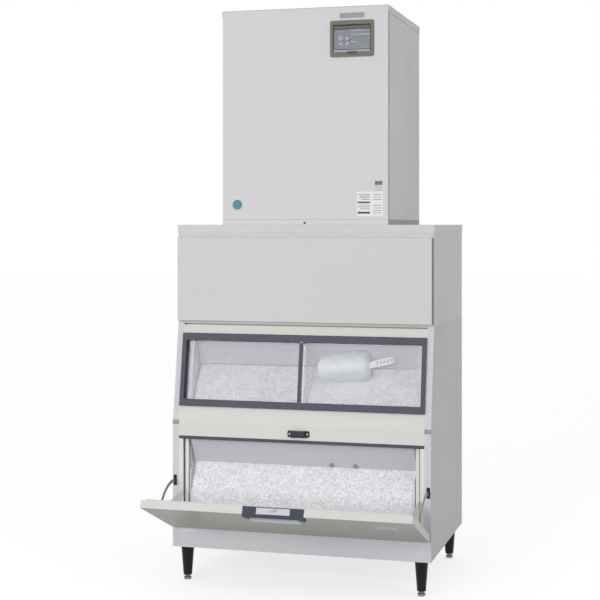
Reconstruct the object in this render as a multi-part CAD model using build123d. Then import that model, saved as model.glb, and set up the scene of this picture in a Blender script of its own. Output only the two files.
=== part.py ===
from build123d import *
import os
from math import atan2, cos, radians, sin, tan

# An ice machine: a flaker head that stands on a tall insulated storage bin.
# Millimetres. X runs to the right, Y to the back, Z up. While it is built, Y = 0 is the
# front plane of the bin's upper box and Z = 0 is the floor.

# Storage bin
BIN_WIDTH = 980.0
BIN_HEIGHT = 1200.0
UPPER_DEPTH = 630.0
UPPER_HEIGHT = 370.0
SLOPE_HEIGHT = 365.0
FRONT_STEP = 60.0
LEG_HEIGHT = 130.0
SHEET = 1.5
FOLD_RADIUS = 2.0
PILLAR = 25.0
HEM = 20.0
LID_LIP = 30.0

# Big panel on the upper box
PANEL_DEPTH = 22.0
PANEL_SIDE_GAP = 4.5
PANEL_TOP_GAP = 17.0
PANEL_FOOT_GAP = 11.0

# Sloping front, measured down the slope from the seam
HEADER_START = 5.0
HEADER_LENGTH = 32.5
FRAME_LENGTH = 272.5
FRAME_RAIL = 26.0
FRAME_STILE = 15.0
FRAME_PROUD = 10.0
FRAME_BACK = 22.0
PANE_THICK = 4.0
TRACK_WIDTH = 5.0
TRACK_DEPTH = 8.0
TRACK_PITCH = 9.0
FRONT_TRACK_DROP = 2.0
PANE_OVERLAP = 20.0
PANE_GAP = 0.3
STRIP_WIDTH = 12.0
STRIP_THICK = 6.0
MIDDLE_HEIGHT = 50.0
MIDDLE_HEM = 10.0
GASKET_HEIGHT = 12.0
GASKET_DEPTH = 14.0

# Lower opening and apron
APRON_HEIGHT = 71.0
SILL_HEIGHT = 122.0
JAMB_WIDTH = 15.5
JAMB_DEPTH = 14.0
GUIDE_BACK = 37.0
GUIDE_SLOT = 5.0
CHEEK_POCKET_REAR = 62.0

# Inner tub and insulation
LINER_WALL = 3.0
LINER_SIDE = 60.0
LINER_REAR = 48.5
LINER_FLOOR = 60.0
LINER_FRONT = 35.0
LINER_TOP_GAP = 6.0
FOAM_MARGIN = 1.0
TUB_WINDOW_TOP = 45.0
TUB_WINDOW_FOOT = 295.0
TUB_MOUTH_TOP = 450.0
UPPER_BAFFLE_FOOT = (70.0, 157.0)
LOWER_BAFFLE_FOOT = (0.0, 517.0)
GUARD_THICK = 3.0
GUARD_FRONT = -44.0
GUARD_REAR = 16.0
GUARD_FRONT_RISE = 165.0
GUARD_REAR_RISE = 195.0
ICE_PEAK = 90.0
ICE_FRONT = 4.0
ICE_TOE = 24.0
REVEAL_THICK = 3.0
REVEAL_GAP = 0.4

# Door, drawn closed and then swung open
DOOR_SIDE_GAP = 5.0
DOOR_THICK = 28.0
DOOR_STANDOFF = 6.0
DOOR_RISE = 331.0
DOOR_DROP = 10.0
HINGE_HEIGHT = 92.0
DOOR_OPEN = 67.3
HINGE_ROD_RADIUS = 3.0
RUNNING_GAP = 0.05
BRACKET_X = (-300.0, 0.0, 300.0)
BRACKET_THICK = 4.0
BRACKET_EAR = 6.0
BRACKET_FLANGE = 2.0
BRACKET_FLANGE_HALF = 15.0
BRACKET_FLANGE_DROP = 17.0
BRACKET_FLANGE_RISE = 14.0
CHEEK_THICK = 2.0
CHEEK_HIGH = 208.0
CHEEK_REACH = 122.0
CHEEK_LOW = 34.0
DOOR_GASKET_INSET = 15.0
DOOR_GASKET_WIDTH = 14.0
DOOR_GASKET_THICK = 5.5
DOOR_GASKET_FOOT = 18.0
DOOR_GASKET_TOP = 4.0
STAY_INSET = 7.0
STAY_RADIUS = 157.0
STAY_WIDTH = 12.0
STAY_THICK = 3.0
STAY_TAIL = 80.0
STAY_STOP = 3.0
STAY_STOP_WIDTH = 8.0
BUSH_WIDTH = 8.6
BUSH_HEIGHT = 35.6
BUSH_DEPTH = 12.0
BUSH_RIM = 1.8
BUSH_GAP = 0.3

# Door handle and latch
HANDLE_HALF = 110.0
HANDLE_HEIGHT = 38.0
HANDLE_PROUD = 10.0
HANDLE_ROUND = 8.0
HANDLE_ROOF = 4.0
PADDLE_BAY = 24.0
PADDLE_HALF = 90.0
PADDLE_Y = -97.0
PADDLE_Z = 541.0
PADDLE_LINE = ((-3.5, 0.0), (-3.5, -32.0), (-11.0, -43.0))
PADDLE_BEND = 8.0
PADDLE_THICK = 4.0
PADDLE_BARREL = 4.5
PADDLE_PIN = 2.0
PADDLE_PIN_LENGTH = 8.0
LATCH_PLATE_HALF = 60.0
LATCH_PLATE_THICK = 2.5
BOLT_HALF = 11.0
BOLT_THICK = 4.0
BOLT_RISE = 10.0
BOLT_LENGTH = 30.0
BOLT_SHIFT = 4.0
BOLT_GAP = 0.3
STRIKER_HALF = 41.0
STRIKER_HEIGHT = 24.0
STRIKER_FLANGE = 4.0
STRIKER_HUMP_HALF = 25.0
STRIKER_DEPTH = 21.0
STRIKER_CLEAR = 3.0
STRIKER_ROUND = 5.0
KEEPER_POCKET = 12.0
KEEPER_LIP = 7.5

# Legs
LEG_INSET = 45.0
LEG_FRONT = 45.0
LEG_REAR = 45.0
LEG_TOP_RADIUS = 24.0
LEG_FOOT_RADIUS = 16.0
FOOT_SHOWS = 18.0
FOOT_RADIUS = 14.0
FOOT_SOLE = 10.0
FOOT_WAIST = 9.0
STUD_RADIUS = 6.0
STUD_BORE = 60.0
STUD_LENGTH = 45.0
LEG_COLLAR = 8.0
LEG_BOLT_RISE = 15.0
LEG_BOLT_RADIUS = 8.0

# Ice maker head
HEAD_WIDTH = 634.0
HEAD_DEPTH = 600.0
HEAD_HEIGHT = 800.0
HEAD_SETBACK = 15.0
HEAD_BASE_HEIGHT = 19.0
COVER_LIP = 25.0
INTAKE_SLOTS = 8
INTAKE_FRONT = 60.0
INTAKE_LENGTH = 180.0
INTAKE_FOOT = 30.0
INTAKE_PITCH = 12.0
INTAKE_GAP = 4.0
LOUVRE_ROWS = 12
LOUVRE_FOOT = 166.0
LOUVRE_PITCH = 24.0
LOUVRE_LENGTH = 260.0
LOUVRE_GAP = 8.0
LOUVRE_DEPTH = 6.0

# Control panel, from the head's centre line and the bin's top
BEZEL_X = 182.0
BEZEL_Z = 681.0
BEZEL_WIDTH = 165.0
BEZEL_HEIGHT = 134.0
BEZEL_PROUD = 4.0
BEZEL_SLEEVE = 4.0
BEZEL_ROUND = 8.0
COVER_WIDTH = 142.0
COVER_HEIGHT = 103.0
COVER_BARREL = 2.5
COVER_PIN = 1.2
COVER_PIN_LENGTH = 4.0
COVER_TAB = 37.0
COVER_THICK = 2.0
KEYPAD_DEPTH = 10.0
KEYPAD_THICK = 4.0
RUN_X = -44.0
STOP_X = -21.5
KEY_Z = 2.0
KEY_RADIUS = 8.0
KEY_TRAVEL = 1.5
KEY_CAP = 3.5

# Ice path
CHUTE_X = -10.0
CHUTE_Y = 165.0
CHUTE_WIDTH = 140.0
CHUTE_DEPTH = 130.0
CHUTE_WALL = 2.0
CHUTE_DROP = 60.0
HOOD_HEIGHT = 110.0
HOOD_ROUND = 4.0

# Ice making works inside the head
EVAP_X = 150.0
EVAP_Y = 210.0
EVAP_RADIUS = 62.0
EVAP_FOOT = 190.0
EVAP_HEIGHT = 290.0
BARREL_RADIUS = 38.0
AUGER_CORE = 20.0
AUGER_GAP = 0.6
AUGER_TURNS = 5
SHAFT_RADIUS = 9.0
EXTRUDER_HEIGHT = 20.0
EXTRUDER_SLOTS = 8
EXTRUDER_SLOT_AT = 26.0
GEARBOX_HEIGHT = 120.0
GEARBOX_HALF = 62.0
GEARBOX_ROUND = 16.0
GEARBOX_FOOT_HALF = (78.0, 50.0)
GEARBOX_FOOT_THICK = 8.0
NECK_RADIUS = 44.0
GEAR_MOTOR_RADIUS = 46.0
GEAR_MOTOR_LENGTH = 128.0
FAN_X = -90.0
FAN_Z = 300.0
FAN_RADIUS = 125.0
FAN_BLADES = 5
FAN_TIP_GAP = 4.0
FAN_SHAFT = 5.0
FAN_HUB_RADIUS = 24.0
FAN_HUB_WIDTH = 22.0
FAN_BLADE_WIDTH = 62.0
FAN_BLADE_THICK = 2.0
FAN_BLADE_PITCH = 28.0
FAN_HUB_GAP = 8.0
FAN_MOTOR_RADIUS = 40.0
FAN_MOTOR_LENGTH = 80.0
FAN_MOTOR_GAP = 10.0
SHROUD_DEPTH = 30.0
CONDENSER_WIDTH = 320.0
CONDENSER_HEIGHT = 300.0
CONDENSER_DEPTH = 50.0
CONDENSER_TUBES = 8
CONDENSER_GAP = 15.0
FIN_COUNT = 24
FIN_THICK = 1.2
COMPRESSOR_X = -170.0
COMPRESSOR_Y = 190.0
COMPRESSOR_RADIUS = 82.0
COMPRESSOR_HEIGHT = 190.0
COMPRESSOR_SEAM = 90.0
GROMMET_HEIGHT = 10.0
LINE_RADIUS = 5.0
RESERVOIR_Y = 150.0
RESERVOIR_WIDTH = 80.0
RESERVOIR_LENGTH = 120.0
RESERVOIR_FOOT = 230.0
RESERVOIR_HEIGHT = 140.0
RESERVOIR_LID = 8.0
RESERVOIR_LIP = 4.0
RESERVOIR_OUTLET = 9.0
CONTROL_BOX_Y = 60.0
CONTROL_BOX_WIDTH = 80.0
CONTROL_BOX_LENGTH = 220.0
CONTROL_BOX_FOOT = 560.0
CONTROL_BOX_HEIGHT = 200.0
CONTROL_BOX_LIP = 6.0

# Water and drain
INLET_X = 250.0
INLET_RISE = 70.0
INLET_RADIUS = 13.2
INLET_BORE = 9.0
INLET_REACH = 30.0
HEAD_DRAIN_X = 190.0
HEAD_DRAIN_RISE = 50.0
DRAIN_X = 0.0
DRAIN_Y = 480.0
DRAIN_RADIUS = 16.0
DRAIN_BORE = 12.5
DRAIN_REACH = 30.0
DRAIN_COLLAR = 6.0
DRAIN_COLLAR_THICK = 4.0

# Scoop
SCOOP_LENGTH = 190.0
SCOOP_RADIUS = 58.0
SCOOP_RIM = 16.0
SCOOP_WALL = 2.5
SCOOP_X = 152.0
SCOOP_Y = 39.0
SCOOP_DROP = 524.0
SCOOP_LEAN = 5.3
SCOOP_TILT = 5.0
SCOOP_MOUTH = 68.0
SCOOP_REST = 0.2
GRIP_LENGTH = 100.0
GRIP_WIDTH = 24.0
GRIP_THICK = 10.0
GRIP_RISE = 9.0
GRIP_HOLES = 5

# Levels and planes that follow from the sizes above
BASE_Z = LEG_HEIGHT
TOP_Z = BASE_Z + BIN_HEIGHT
SEAM_Z = TOP_Z - UPPER_HEIGHT
KINK_Z = SEAM_Z - SLOPE_HEIGHT
BODY_HALF = BIN_WIDTH / 2 - SHEET
BODY_REAR = UPPER_DEPTH - SHEET
MOUTH_HALF = BODY_HALF - PILLAR
FRONT_Y = -FRONT_STEP
TUB_HALF = BIN_WIDTH / 2 - LINER_SIDE
TUB_IN = TUB_HALF - LINER_WALL
SLOPE = atan2(FRONT_STEP, SLOPE_HEIGHT)
SLOPE_PLANE = Plane(origin=(0, 0, SEAM_Z), x_dir=(1, 0, 0), z_dir=(0, -cos(SLOPE), sin(SLOPE)))
FRAME_START = HEADER_START + HEADER_LENGTH
FRAME_END = FRAME_START + FRAME_LENGTH
MIDDLE_FOOT = KINK_Z - MIDDLE_HEIGHT
MOUTH_TOP = MIDDLE_FOOT - GASKET_HEIGHT
SILL_Z = BASE_Z + SILL_HEIGHT
JAMB_IN = MOUTH_HALF - JAMB_WIDTH
DOOR_HALF = BIN_WIDTH / 2 - DOOR_SIDE_GAP
DOOR_GASKET_HALF = DOOR_HALF - DOOR_GASKET_INSET
STAY_X = DOOR_HALF - STAY_INSET
LEG_X = BIN_WIDTH / 2 - LEG_INSET
DOOR_IN_Y = FRONT_Y - DOOR_STANDOFF
DOOR_OUT_Y = DOOR_IN_Y - DOOR_THICK
HINGE_Y = (DOOR_IN_Y + DOOR_OUT_Y) / 2
HINGE_Z = BASE_Z + HINGE_HEIGHT
DOOR_TOP = HINGE_Z + DOOR_RISE
DOOR_FOOT = HINGE_Z - DOOR_DROP
HINGE = Axis((0, HINGE_Y, HINGE_Z), (1, 0, 0))
HEAD_HALF = HEAD_WIDTH / 2
HEAD_FRONT = HEAD_SETBACK
HEAD_REAR = HEAD_SETBACK + HEAD_DEPTH
HEAD_TOP = TOP_Z + HEAD_HEIGHT
HEAD_FLOOR = TOP_Z + SHEET
PANEL_FOOT_Z = TOP_Z + HEAD_BASE_HEIGHT
TUB_TOP = TOP_Z - LINER_TOP_GAP
TUB_REAR = BODY_REAR - LINER_REAR - LINER_WALL
FRAME_OPEN_HALF = MOUTH_HALF - FRAME_STILE
CONDENSER_REAR = HEAD_REAR - CONDENSER_GAP
SHROUD_FACE = CONDENSER_REAR - CONDENSER_DEPTH - SHROUD_DEPTH
COVER_HINGE_Y = HEAD_FRONT - BEZEL_PROUD + COVER_BARREL + 0.5
COVER_HINGE_Z = TOP_Z + BEZEL_Z + COVER_HEIGHT / 2 - COVER_BARREL - 0.5
INLET_Z = TOP_Z + INLET_RISE
HEAD_DRAIN_Z = TOP_Z + HEAD_DRAIN_RISE
LEAN = radians(SCOOP_LEAN)
SCOOP_PLANE = Plane(
    origin=(SCOOP_X, SCOOP_Y, TOP_Z - SCOOP_DROP),
    x_dir=(1, 0, 0),
    z_dir=(0, -cos(LEAN), sin(LEAN)),
)


def block(x, y, z):
    """A box between two limits on each axis."""
    middle = Pos((x[0] + x[1]) / 2, (y[0] + y[1]) / 2, (z[0] + z[1]) / 2)
    return middle * Box(x[1] - x[0], y[1] - y[0], z[1] - z[0])


def side_slab(outline, x):
    """An outline of (y, z) points carried along X between two limits."""
    return extrude(Plane.YZ.offset(x[0]) * Polygon(*outline, align=None), x[1] - x[0], dir=(1, 0, 0))


def slope_block(x, s, n):
    """A box on the sloping front: s runs down the slope and n stands out of it."""
    return SLOPE_PLANE * block(x, (-s[1], -s[0]), n)


def slope_point(s, n):
    """The (y, z) of a place on the sloping front."""
    return (-s * sin(SLOPE) - n * cos(SLOPE), SEAM_Z - s * cos(SLOPE) + n * sin(SLOPE))


def folded(points, half):
    """A sheet bent along a line of (y, z) points, thickened to the line's left."""
    bent = offset(Polyline(*points), SHEET, side=Side.LEFT, kind=Kind.INTERSECTION)
    return extrude(Plane.YZ.offset(-half) * make_face(bent.edges()), 2 * half, dir=(1, 0, 0))


def rod_x(radius, x, y, z):
    return Pos((x[0] + x[1]) / 2, y, z) * Rot(0, 90, 0) * Cylinder(radius, x[1] - x[0])


def rod_y(radius, x, y, z):
    return Pos(x, (y[0] + y[1]) / 2, z) * Rot(90, 0, 0) * Cylinder(radius, y[1] - y[0])


def rod_z(radius, x, y, z):
    return Pos(x, y, (z[0] + z[1]) / 2) * Cylinder(radius, z[1] - z[0])


def both_sides(piece):
    """A piece and its mirror image across the middle, as separate solids."""
    return Compound(children=[piece, mirror(piece, about=Plane.YZ)])


def group(pieces):
    """Like pieces that share a node, each a solid of its own."""
    return Compound(children=list(pieces))


def swung(piece):
    """A door piece, turned from closed to the open rest pose."""
    return piece.rotate(HINGE, DOOR_OPEN)


# Bin shell


def bin_top_plate():
    """The lid: a plate with a lip folded down all round, and the hole that the chute comes through."""
    plate = block((-BIN_WIDTH / 2, BIN_WIDTH / 2), (-SHEET, UPPER_DEPTH), (TOP_Z - LID_LIP, TOP_Z))
    plate = fillet(plate.faces().sort_by(Axis.Z)[-1].edges(), FOLD_RADIUS)
    plate -= block((-BODY_HALF, BODY_HALF), (0, BODY_REAR), (TOP_Z - LID_LIP, TOP_Z - SHEET))
    return plate - chute_space(0.5, (TOP_Z - LID_LIP, TOP_Z + SHEET))


def chute_space(gap, z):
    """The outside of the ice chute, with a gap all round."""
    half_x = CHUTE_WIDTH / 2 + CHUTE_WALL + gap
    half_y = CHUTE_DEPTH / 2 + CHUTE_WALL + gap
    return block((CHUTE_X - half_x, CHUTE_X + half_x), (CHUTE_Y - half_y, CHUTE_Y + half_y), z)


def side_tray(outline):
    """A side panel: a wall with its edges folded in all round."""
    tray = side_slab(outline, (MOUTH_HALF, BODY_HALF))
    tray = fillet(tray.faces().sort_by(Axis.X)[-1].edges(), FOLD_RADIUS)
    hollow = offset(Polygon(*outline, align=None), -SHEET, kind=Kind.INTERSECTION)
    return tray - extrude(Plane.YZ.offset(MOUTH_HALF) * hollow, PILLAR - SHEET, dir=(1, 0, 0))


def upper_side_panels():
    top = TOP_Z - SHEET
    return both_sides(side_tray([(0, SEAM_Z), (0, top), (BODY_REAR, top), (BODY_REAR, SEAM_Z)]))


def bin_side_panels():
    """Their front edges are the pillars, which follow the sloping front and hold the stays' slots."""
    outline = [(0, SEAM_Z), (FRONT_Y, KINK_Z), (FRONT_Y, BASE_Z), (BODY_REAR, BASE_Z), (BODY_REAR, SEAM_Z)]
    return both_sides(side_tray(outline) - bush_body(BUSH_GAP))


def upper_front_frame():
    """The upright sheet behind the big panel, folded back along its top and foot."""
    top = TOP_Z - SHEET
    return folded([(HEM, top), (0, top), (0, SEAM_Z), (HEM, SEAM_Z)], MOUTH_HALF)


def upper_front_panel():
    """The big pan-shaped front panel, open at its back."""
    half = BODY_HALF - PANEL_SIDE_GAP
    foot = SEAM_Z + PANEL_FOOT_GAP
    top = TOP_Z - LID_LIP - PANEL_TOP_GAP
    pan = block((-half, half), (-PANEL_DEPTH, 0), (foot, top))
    pan = fillet(pan.faces().sort_by(Axis.Y)[0].edges(), FOLD_RADIUS)
    return pan - block((SHEET - half, half - SHEET), (SHEET - PANEL_DEPTH, 0), (foot + SHEET, top - SHEET))


def back_sheet(low, high):
    """A rear sheet between the side panels, folded forward along its top and foot."""
    fold = BODY_REAR - HEM
    return folded([(fold, low), (BODY_REAR, low), (BODY_REAR, high), (fold, high)], MOUTH_HALF)


def bin_back_panels():
    return group([back_sheet(SEAM_Z, TOP_Z - SHEET), back_sheet(BASE_Z + SHEET, SEAM_Z)])


def leg_places():
    front = FRONT_Y + LEG_FRONT
    rear = BODY_REAR - LEG_REAR
    return {
        "front_left": (-LEG_X, front),
        "front_right": (LEG_X, front),
        "rear_left": (-LEG_X, rear),
        "rear_right": (LEG_X, rear),
    }


def bin_floor():
    """The base pan, with the holes that the leg bolts and the drain pass through."""
    front = FRONT_Y + SHEET
    rear = BODY_REAR - HEM
    pan = block((-MOUTH_HALF, MOUTH_HALF), (front, rear), (BASE_Z, BASE_Z + HEM))
    inner_x = (SHEET - MOUTH_HALF, MOUTH_HALF - SHEET)
    pan -= block(inner_x, (front + SHEET, rear - SHEET), (BASE_Z + SHEET, BASE_Z + HEM))
    pan += block((-MOUTH_HALF, MOUTH_HALF), (rear, BODY_REAR), (BASE_Z, BASE_Z + SHEET))
    for x, y in leg_places().values():
        pan -= rod_z(LEG_BOLT_RADIUS + BUSH_GAP, x, y, (BASE_Z - 1, BASE_Z + HEM))
    return pan - rod_z(DRAIN_RADIUS + BUSH_GAP, DRAIN_X, DRAIN_Y, (BASE_Z - 1, BASE_Z + HEM))


def apron_panel():
    """The panel below the door, folded back along its top."""
    top = BASE_Z + APRON_HEIGHT
    return folded([(FRONT_Y + HEM, top), (FRONT_Y, top), (FRONT_Y, BASE_Z)], MOUTH_HALF)


def window_header():
    """The pale strip above the window, folded in along both edges."""
    corners = [(HEADER_START, -HEM), (HEADER_START, 0), (FRAME_START, 0), (FRAME_START, -HEM)]
    return folded([slope_point(s, n) for s, n in corners], MOUTH_HALF)


def middle_panel():
    """The panel between window and door: it runs down the slope, drops straight and folds in."""
    start = [slope_point(FRAME_END, -HEM), slope_point(FRAME_END, 0)]
    foot = [(FRONT_Y, KINK_Z), (FRONT_Y, MIDDLE_FOOT), (FRONT_Y + MIDDLE_HEM, MIDDLE_FOOT)]
    return folded(start + foot, MOUTH_HALF)


def top_gasket():
    """The dark strip along the foot of the middle panel, that the door's seal meets."""
    return block((-MOUTH_HALF, MOUTH_HALF), (FRONT_Y, FRONT_Y + GASKET_DEPTH), (MOUTH_TOP, MIDDLE_FOOT))


def opening_frame():
    """The moulded surround of the mouth: a sill, two jambs, and a strip beside the tub on each
    side that leaves a slot for the door's cheek."""
    foot = BASE_Z + APRON_HEIGHT
    rear = FRONT_Y + JAMB_DEPTH
    surround = block((-MOUTH_HALF, MOUTH_HALF), (FRONT_Y, rear), (foot, MOUTH_TOP))
    surround -= block((-JAMB_IN, JAMB_IN), (FRONT_Y, rear), (SILL_Z, MOUTH_TOP))
    surround += block((-TUB_HALF, TUB_HALF), (rear, FRONT_Y + LINER_FRONT), (SILL_Z - HEM, SILL_Z))
    guide = block((TUB_HALF, JAMB_IN - GUIDE_SLOT), (rear, FRONT_Y + GUIDE_BACK), (SILL_Z - HEM, MOUTH_TOP))
    surround += guide
    return surround + mirror(guide, about=Plane.YZ)


# Tub, insulation and baffles


def tub_outline(inset):
    """The tub's side view, drawn in by a wall's thickness where inset is given."""
    front = FRONT_Y + LINER_FRONT + inset
    upper = LINER_FRONT + inset
    rear = BODY_REAR - LINER_REAR - inset
    foot = BASE_Z + LINER_FLOOR + inset
    return [
        (front, foot),
        (front, KINK_Z),
        (upper, SEAM_Z),
        (upper, TUB_TOP),
        (rear, TUB_TOP),
        (rear, foot),
    ]


def guard_outline():
    """The side plates that keep the ice off the jambs."""
    return [
        (GUARD_FRONT, SILL_Z),
        (GUARD_FRONT, SILL_Z + GUARD_FRONT_RISE),
        (GUARD_REAR, SILL_Z + GUARD_REAR_RISE),
        (GUARD_REAR, SILL_Z),
    ]


def bin_liner():
    """The moulded tub, open at the top, at the window and at the mouth, with the drain's hole."""
    front = (FRONT_Y, LINER_FRONT + HEM)
    tub = side_slab(tub_outline(0), (-TUB_HALF, TUB_HALF))
    cavity = side_slab(tub_outline(LINER_WALL), (-TUB_IN, TUB_IN))
    cavity += block((-TUB_IN, TUB_IN), (LINER_FRONT + LINER_WALL, TUB_REAR), (SEAM_Z, TUB_TOP + LINER_WALL))
    tub -= cavity
    tub -= block((-TUB_IN, TUB_IN), front, (SEAM_Z - TUB_WINDOW_FOOT, SEAM_Z - TUB_WINDOW_TOP))
    tub -= block((-TUB_IN, TUB_IN), (FRONT_Y, FRONT_Y + LINER_FRONT + HEM), (SILL_Z, SEAM_Z - TUB_MOUTH_TOP))
    tub -= rod_z(DRAIN_RADIUS + BUSH_GAP, DRAIN_X, DRAIN_Y, (BASE_Z, BASE_Z + 2 * LINER_FLOOR))
    side = side_slab(guard_outline(), (TUB_IN - GUARD_THICK, TUB_IN)) + window_reveal()
    tub += side
    return tub + mirror(side, about=Plane.YZ)


def window_reveal():
    """The tub's side beside the window, brought forward to the frame and flanged outwards."""
    s = (FRAME_START, FRAME_END)
    face = -FRAME_BACK - REVEAL_GAP
    side = slope_block((TUB_IN, TUB_HALF), s, (-LINER_FRONT - HEM, face))
    return side + slope_block((TUB_HALF, MOUTH_HALF - REVEAL_GAP), s, (face - REVEAL_THICK, face))


def foam_jacket():
    """The foam between the tub and the outer sheets."""
    front = FRONT_Y + HEM + FOAM_MARGIN
    upper = HEM + FOAM_MARGIN
    rear = BODY_REAR - HEM - FOAM_MARGIN
    foot = BASE_Z + HEM
    outline = [
        (front, foot),
        (front, KINK_Z),
        (upper, SEAM_Z),
        (upper, TUB_TOP),
        (rear, TUB_TOP),
        (rear, foot),
    ]
    jacket = side_slab(outline, (-MOUTH_HALF, MOUTH_HALF))
    jacket -= side_slab(tub_outline(0), (-TUB_HALF, TUB_HALF))
    full = (-MOUTH_HALF, MOUTH_HALF)
    margin = (FRAME_START - FOAM_MARGIN, FRAME_END + FOAM_MARGIN)
    behind_reveal = -FRAME_BACK - REVEAL_GAP - REVEAL_THICK - FOAM_MARGIN
    jacket -= slope_block(full, margin, (behind_reveal, PANEL_DEPTH))
    jacket -= slope_block((-TUB_HALF, TUB_HALF), margin, (-LINER_FRONT - HEM, PANEL_DEPTH))
    jacket -= block(full, (FRONT_Y, FRONT_Y + GUIDE_BACK), (SILL_Z - HEM, MIDDLE_FOOT + SHEET))
    pocket_x = (JAMB_IN - GUIDE_SLOT, JAMB_IN)
    pocket = block(pocket_x, (FRONT_Y, CHEEK_POCKET_REAR), (SILL_Z - HEM, MIDDLE_FOOT))
    jacket -= pocket
    jacket -= mirror(pocket, about=Plane.YZ)
    return jacket - rod_z(DRAIN_RADIUS + BUSH_GAP, DRAIN_X, DRAIN_Y, (BASE_Z, BASE_Z + LINER_FLOOR))


def tub_wall_at(z):
    """How far back the tub's sloping front wall's inner face is at a height."""
    return LINER_FRONT + LINER_WALL - (SEAM_Z - z) * tan(SLOPE)


def upper_baffle():
    """The sheet behind the window that holds the ice back, hung on the tub's front wall."""
    fold_z = SEAM_Z - TUB_WINDOW_TOP
    hang_z = fold_z + HEM
    y, drop = UPPER_BAFFLE_FOOT
    points = [(tub_wall_at(hang_z), hang_z), (tub_wall_at(fold_z), fold_z), (y, SEAM_Z - drop)]
    return folded(points, TUB_IN - PANE_GAP)


def lower_baffle():
    """The sheet behind the mouth's top edge, hung under the middle panel's fold."""
    y, drop = LOWER_BAFFLE_FOOT
    start = FRONT_Y + GASKET_DEPTH + SHEET
    points = [(FRONT_Y + MIDDLE_HEM, MIDDLE_FOOT), (start, MIDDLE_FOOT), (y, SEAM_Z - drop)]
    return folded(points, TUB_IN - PANE_GAP - GUARD_THICK)


def scoop_rest():
    """The (y, z) just behind the scoop's lowest edge, where it leans on the ice."""
    down = SCOOP_RADIUS - SCOOP_REST
    y = SCOOP_Y - down * sin(LEAN) + PANE_GAP * cos(LEAN)
    return y, TOP_Z - SCOOP_DROP - down * cos(LEAN) - PANE_GAP * sin(LEAN)


def ice_heap():
    """The store of flaked ice: it spills out below each baffle at its own slope."""
    gap = PANE_GAP
    front = FRONT_Y + LINER_FRONT + LINER_WALL + gap
    foot = BASE_Z + LINER_FLOOR + LINER_WALL + gap
    window_y, window_drop = UPPER_BAFFLE_FOOT
    mouth_y, mouth_drop = LOWER_BAFFLE_FOOT
    window_z = SEAM_Z - window_drop
    mouth_z = SEAM_Z - mouth_drop
    sill = SEAM_Z - TUB_WINDOW_FOOT
    toe = FRONT_Y + ICE_FRONT
    outline = [
        (front, foot),
        (front, SILL_Z + gap),
        (toe, SILL_Z + gap),
        (toe + 3, SILL_Z + ICE_TOE),
        (mouth_y - 12, mouth_z - 42),
        (mouth_y + 1, mouth_z - 10),
        (mouth_y + 4, mouth_z + 3),
        (front, SEAM_Z - TUB_MOUTH_TOP + 7),
        (front, KINK_Z),
        (tub_wall_at(sill) + gap, sill),
        scoop_rest(),
        (window_y - 2, window_z - 4),
        (window_y + 6, window_z - 1),
        (CHUTE_Y, window_z + ICE_PEAK),
        (TUB_REAR - gap, window_z - 10),
        (TUB_REAR - gap, foot),
    ]
    half = TUB_IN - GUARD_THICK - gap
    return side_slab(outline, (-half, half))


def scoop():
    """The ice scoop: half of a round trough with a domed back and a slanted mouth, and a grip
    with oval holes. It lies with its open side against the ice."""
    half = SCOOP_LENGTH / 2
    outer = Rot(0, 90, 0) * Cylinder(SCOOP_RADIUS, SCOOP_LENGTH)
    outer = fillet(outer.edges().sort_by(Axis.X)[-1], SCOOP_RADIUS / 2)
    inner = Rot(0, 90, 0) * Cylinder(SCOOP_RADIUS - SCOOP_WALL, SCOOP_LENGTH + SCOOP_WALL)
    inner = Pos(-1.5 * SCOOP_WALL, 0, 0) * inner
    inner = fillet(inner.edges().sort_by(Axis.X)[-1], SCOOP_RADIUS / 2 - SCOOP_WALL)
    bowl = outer - inner
    bowl &= block((-half, half), (-SCOOP_RADIUS, SCOOP_RADIUS), (SCOOP_RIM, SCOOP_RADIUS))
    mouth = [(-half - 1, SCOOP_RIM - 1), (-half + SCOOP_MOUTH, SCOOP_RIM - 1), (-half - 1, SCOOP_RADIUS - 4)]
    mouth = extrude(Plane.XZ * Polygon(*mouth, align=None), SCOOP_RADIUS + 1, both=True)
    bowl -= mouth
    grip = Pos(half + GRIP_LENGTH / 2 - 6, 0, SCOOP_RIM + 16) * Box(GRIP_LENGTH, GRIP_WIDTH, GRIP_THICK)
    grip = fillet(grip.edges().filter_by(Axis.Z), GRIP_WIDTH / 2 - 1)
    for i in range(GRIP_HOLES):
        x = half + GRIP_LENGTH * (0.3 + 0.14 * i)
        hole = SlotOverall(GRIP_WIDTH / 2, GRIP_WIDTH / 4)
        grip -= extrude(Pos(x, 0, SCOOP_RIM) * Rot(0, 0, 60) * hole, SCOOP_RADIUS)
    grip = Pos(half - 6, 0, 0) * Rot(0, 0, GRIP_RISE) * Pos(6 - half, 0, 0) * grip
    piece = bowl + (grip - inner)
    return SCOOP_PLANE * Rot(0, 0, SCOOP_TILT) * Pos(0, 0, -SCOOP_RIM) * piece


# Window


def tracks():
    """The two grooves that the panes run in, cut a little into the frame all round."""
    half = FRAME_OPEN_HALF + TRACK_DEPTH
    s = (FRAME_START + FRAME_RAIL - TRACK_DEPTH, FRAME_END - FRAME_RAIL + TRACK_DEPTH)
    front = (-FRONT_TRACK_DROP - TRACK_WIDTH, -FRONT_TRACK_DROP)
    rear = (front[0] - TRACK_PITCH, front[1] - TRACK_PITCH)
    return slope_block((-half, half), s, front), slope_block((-half, half), s, rear)


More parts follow.
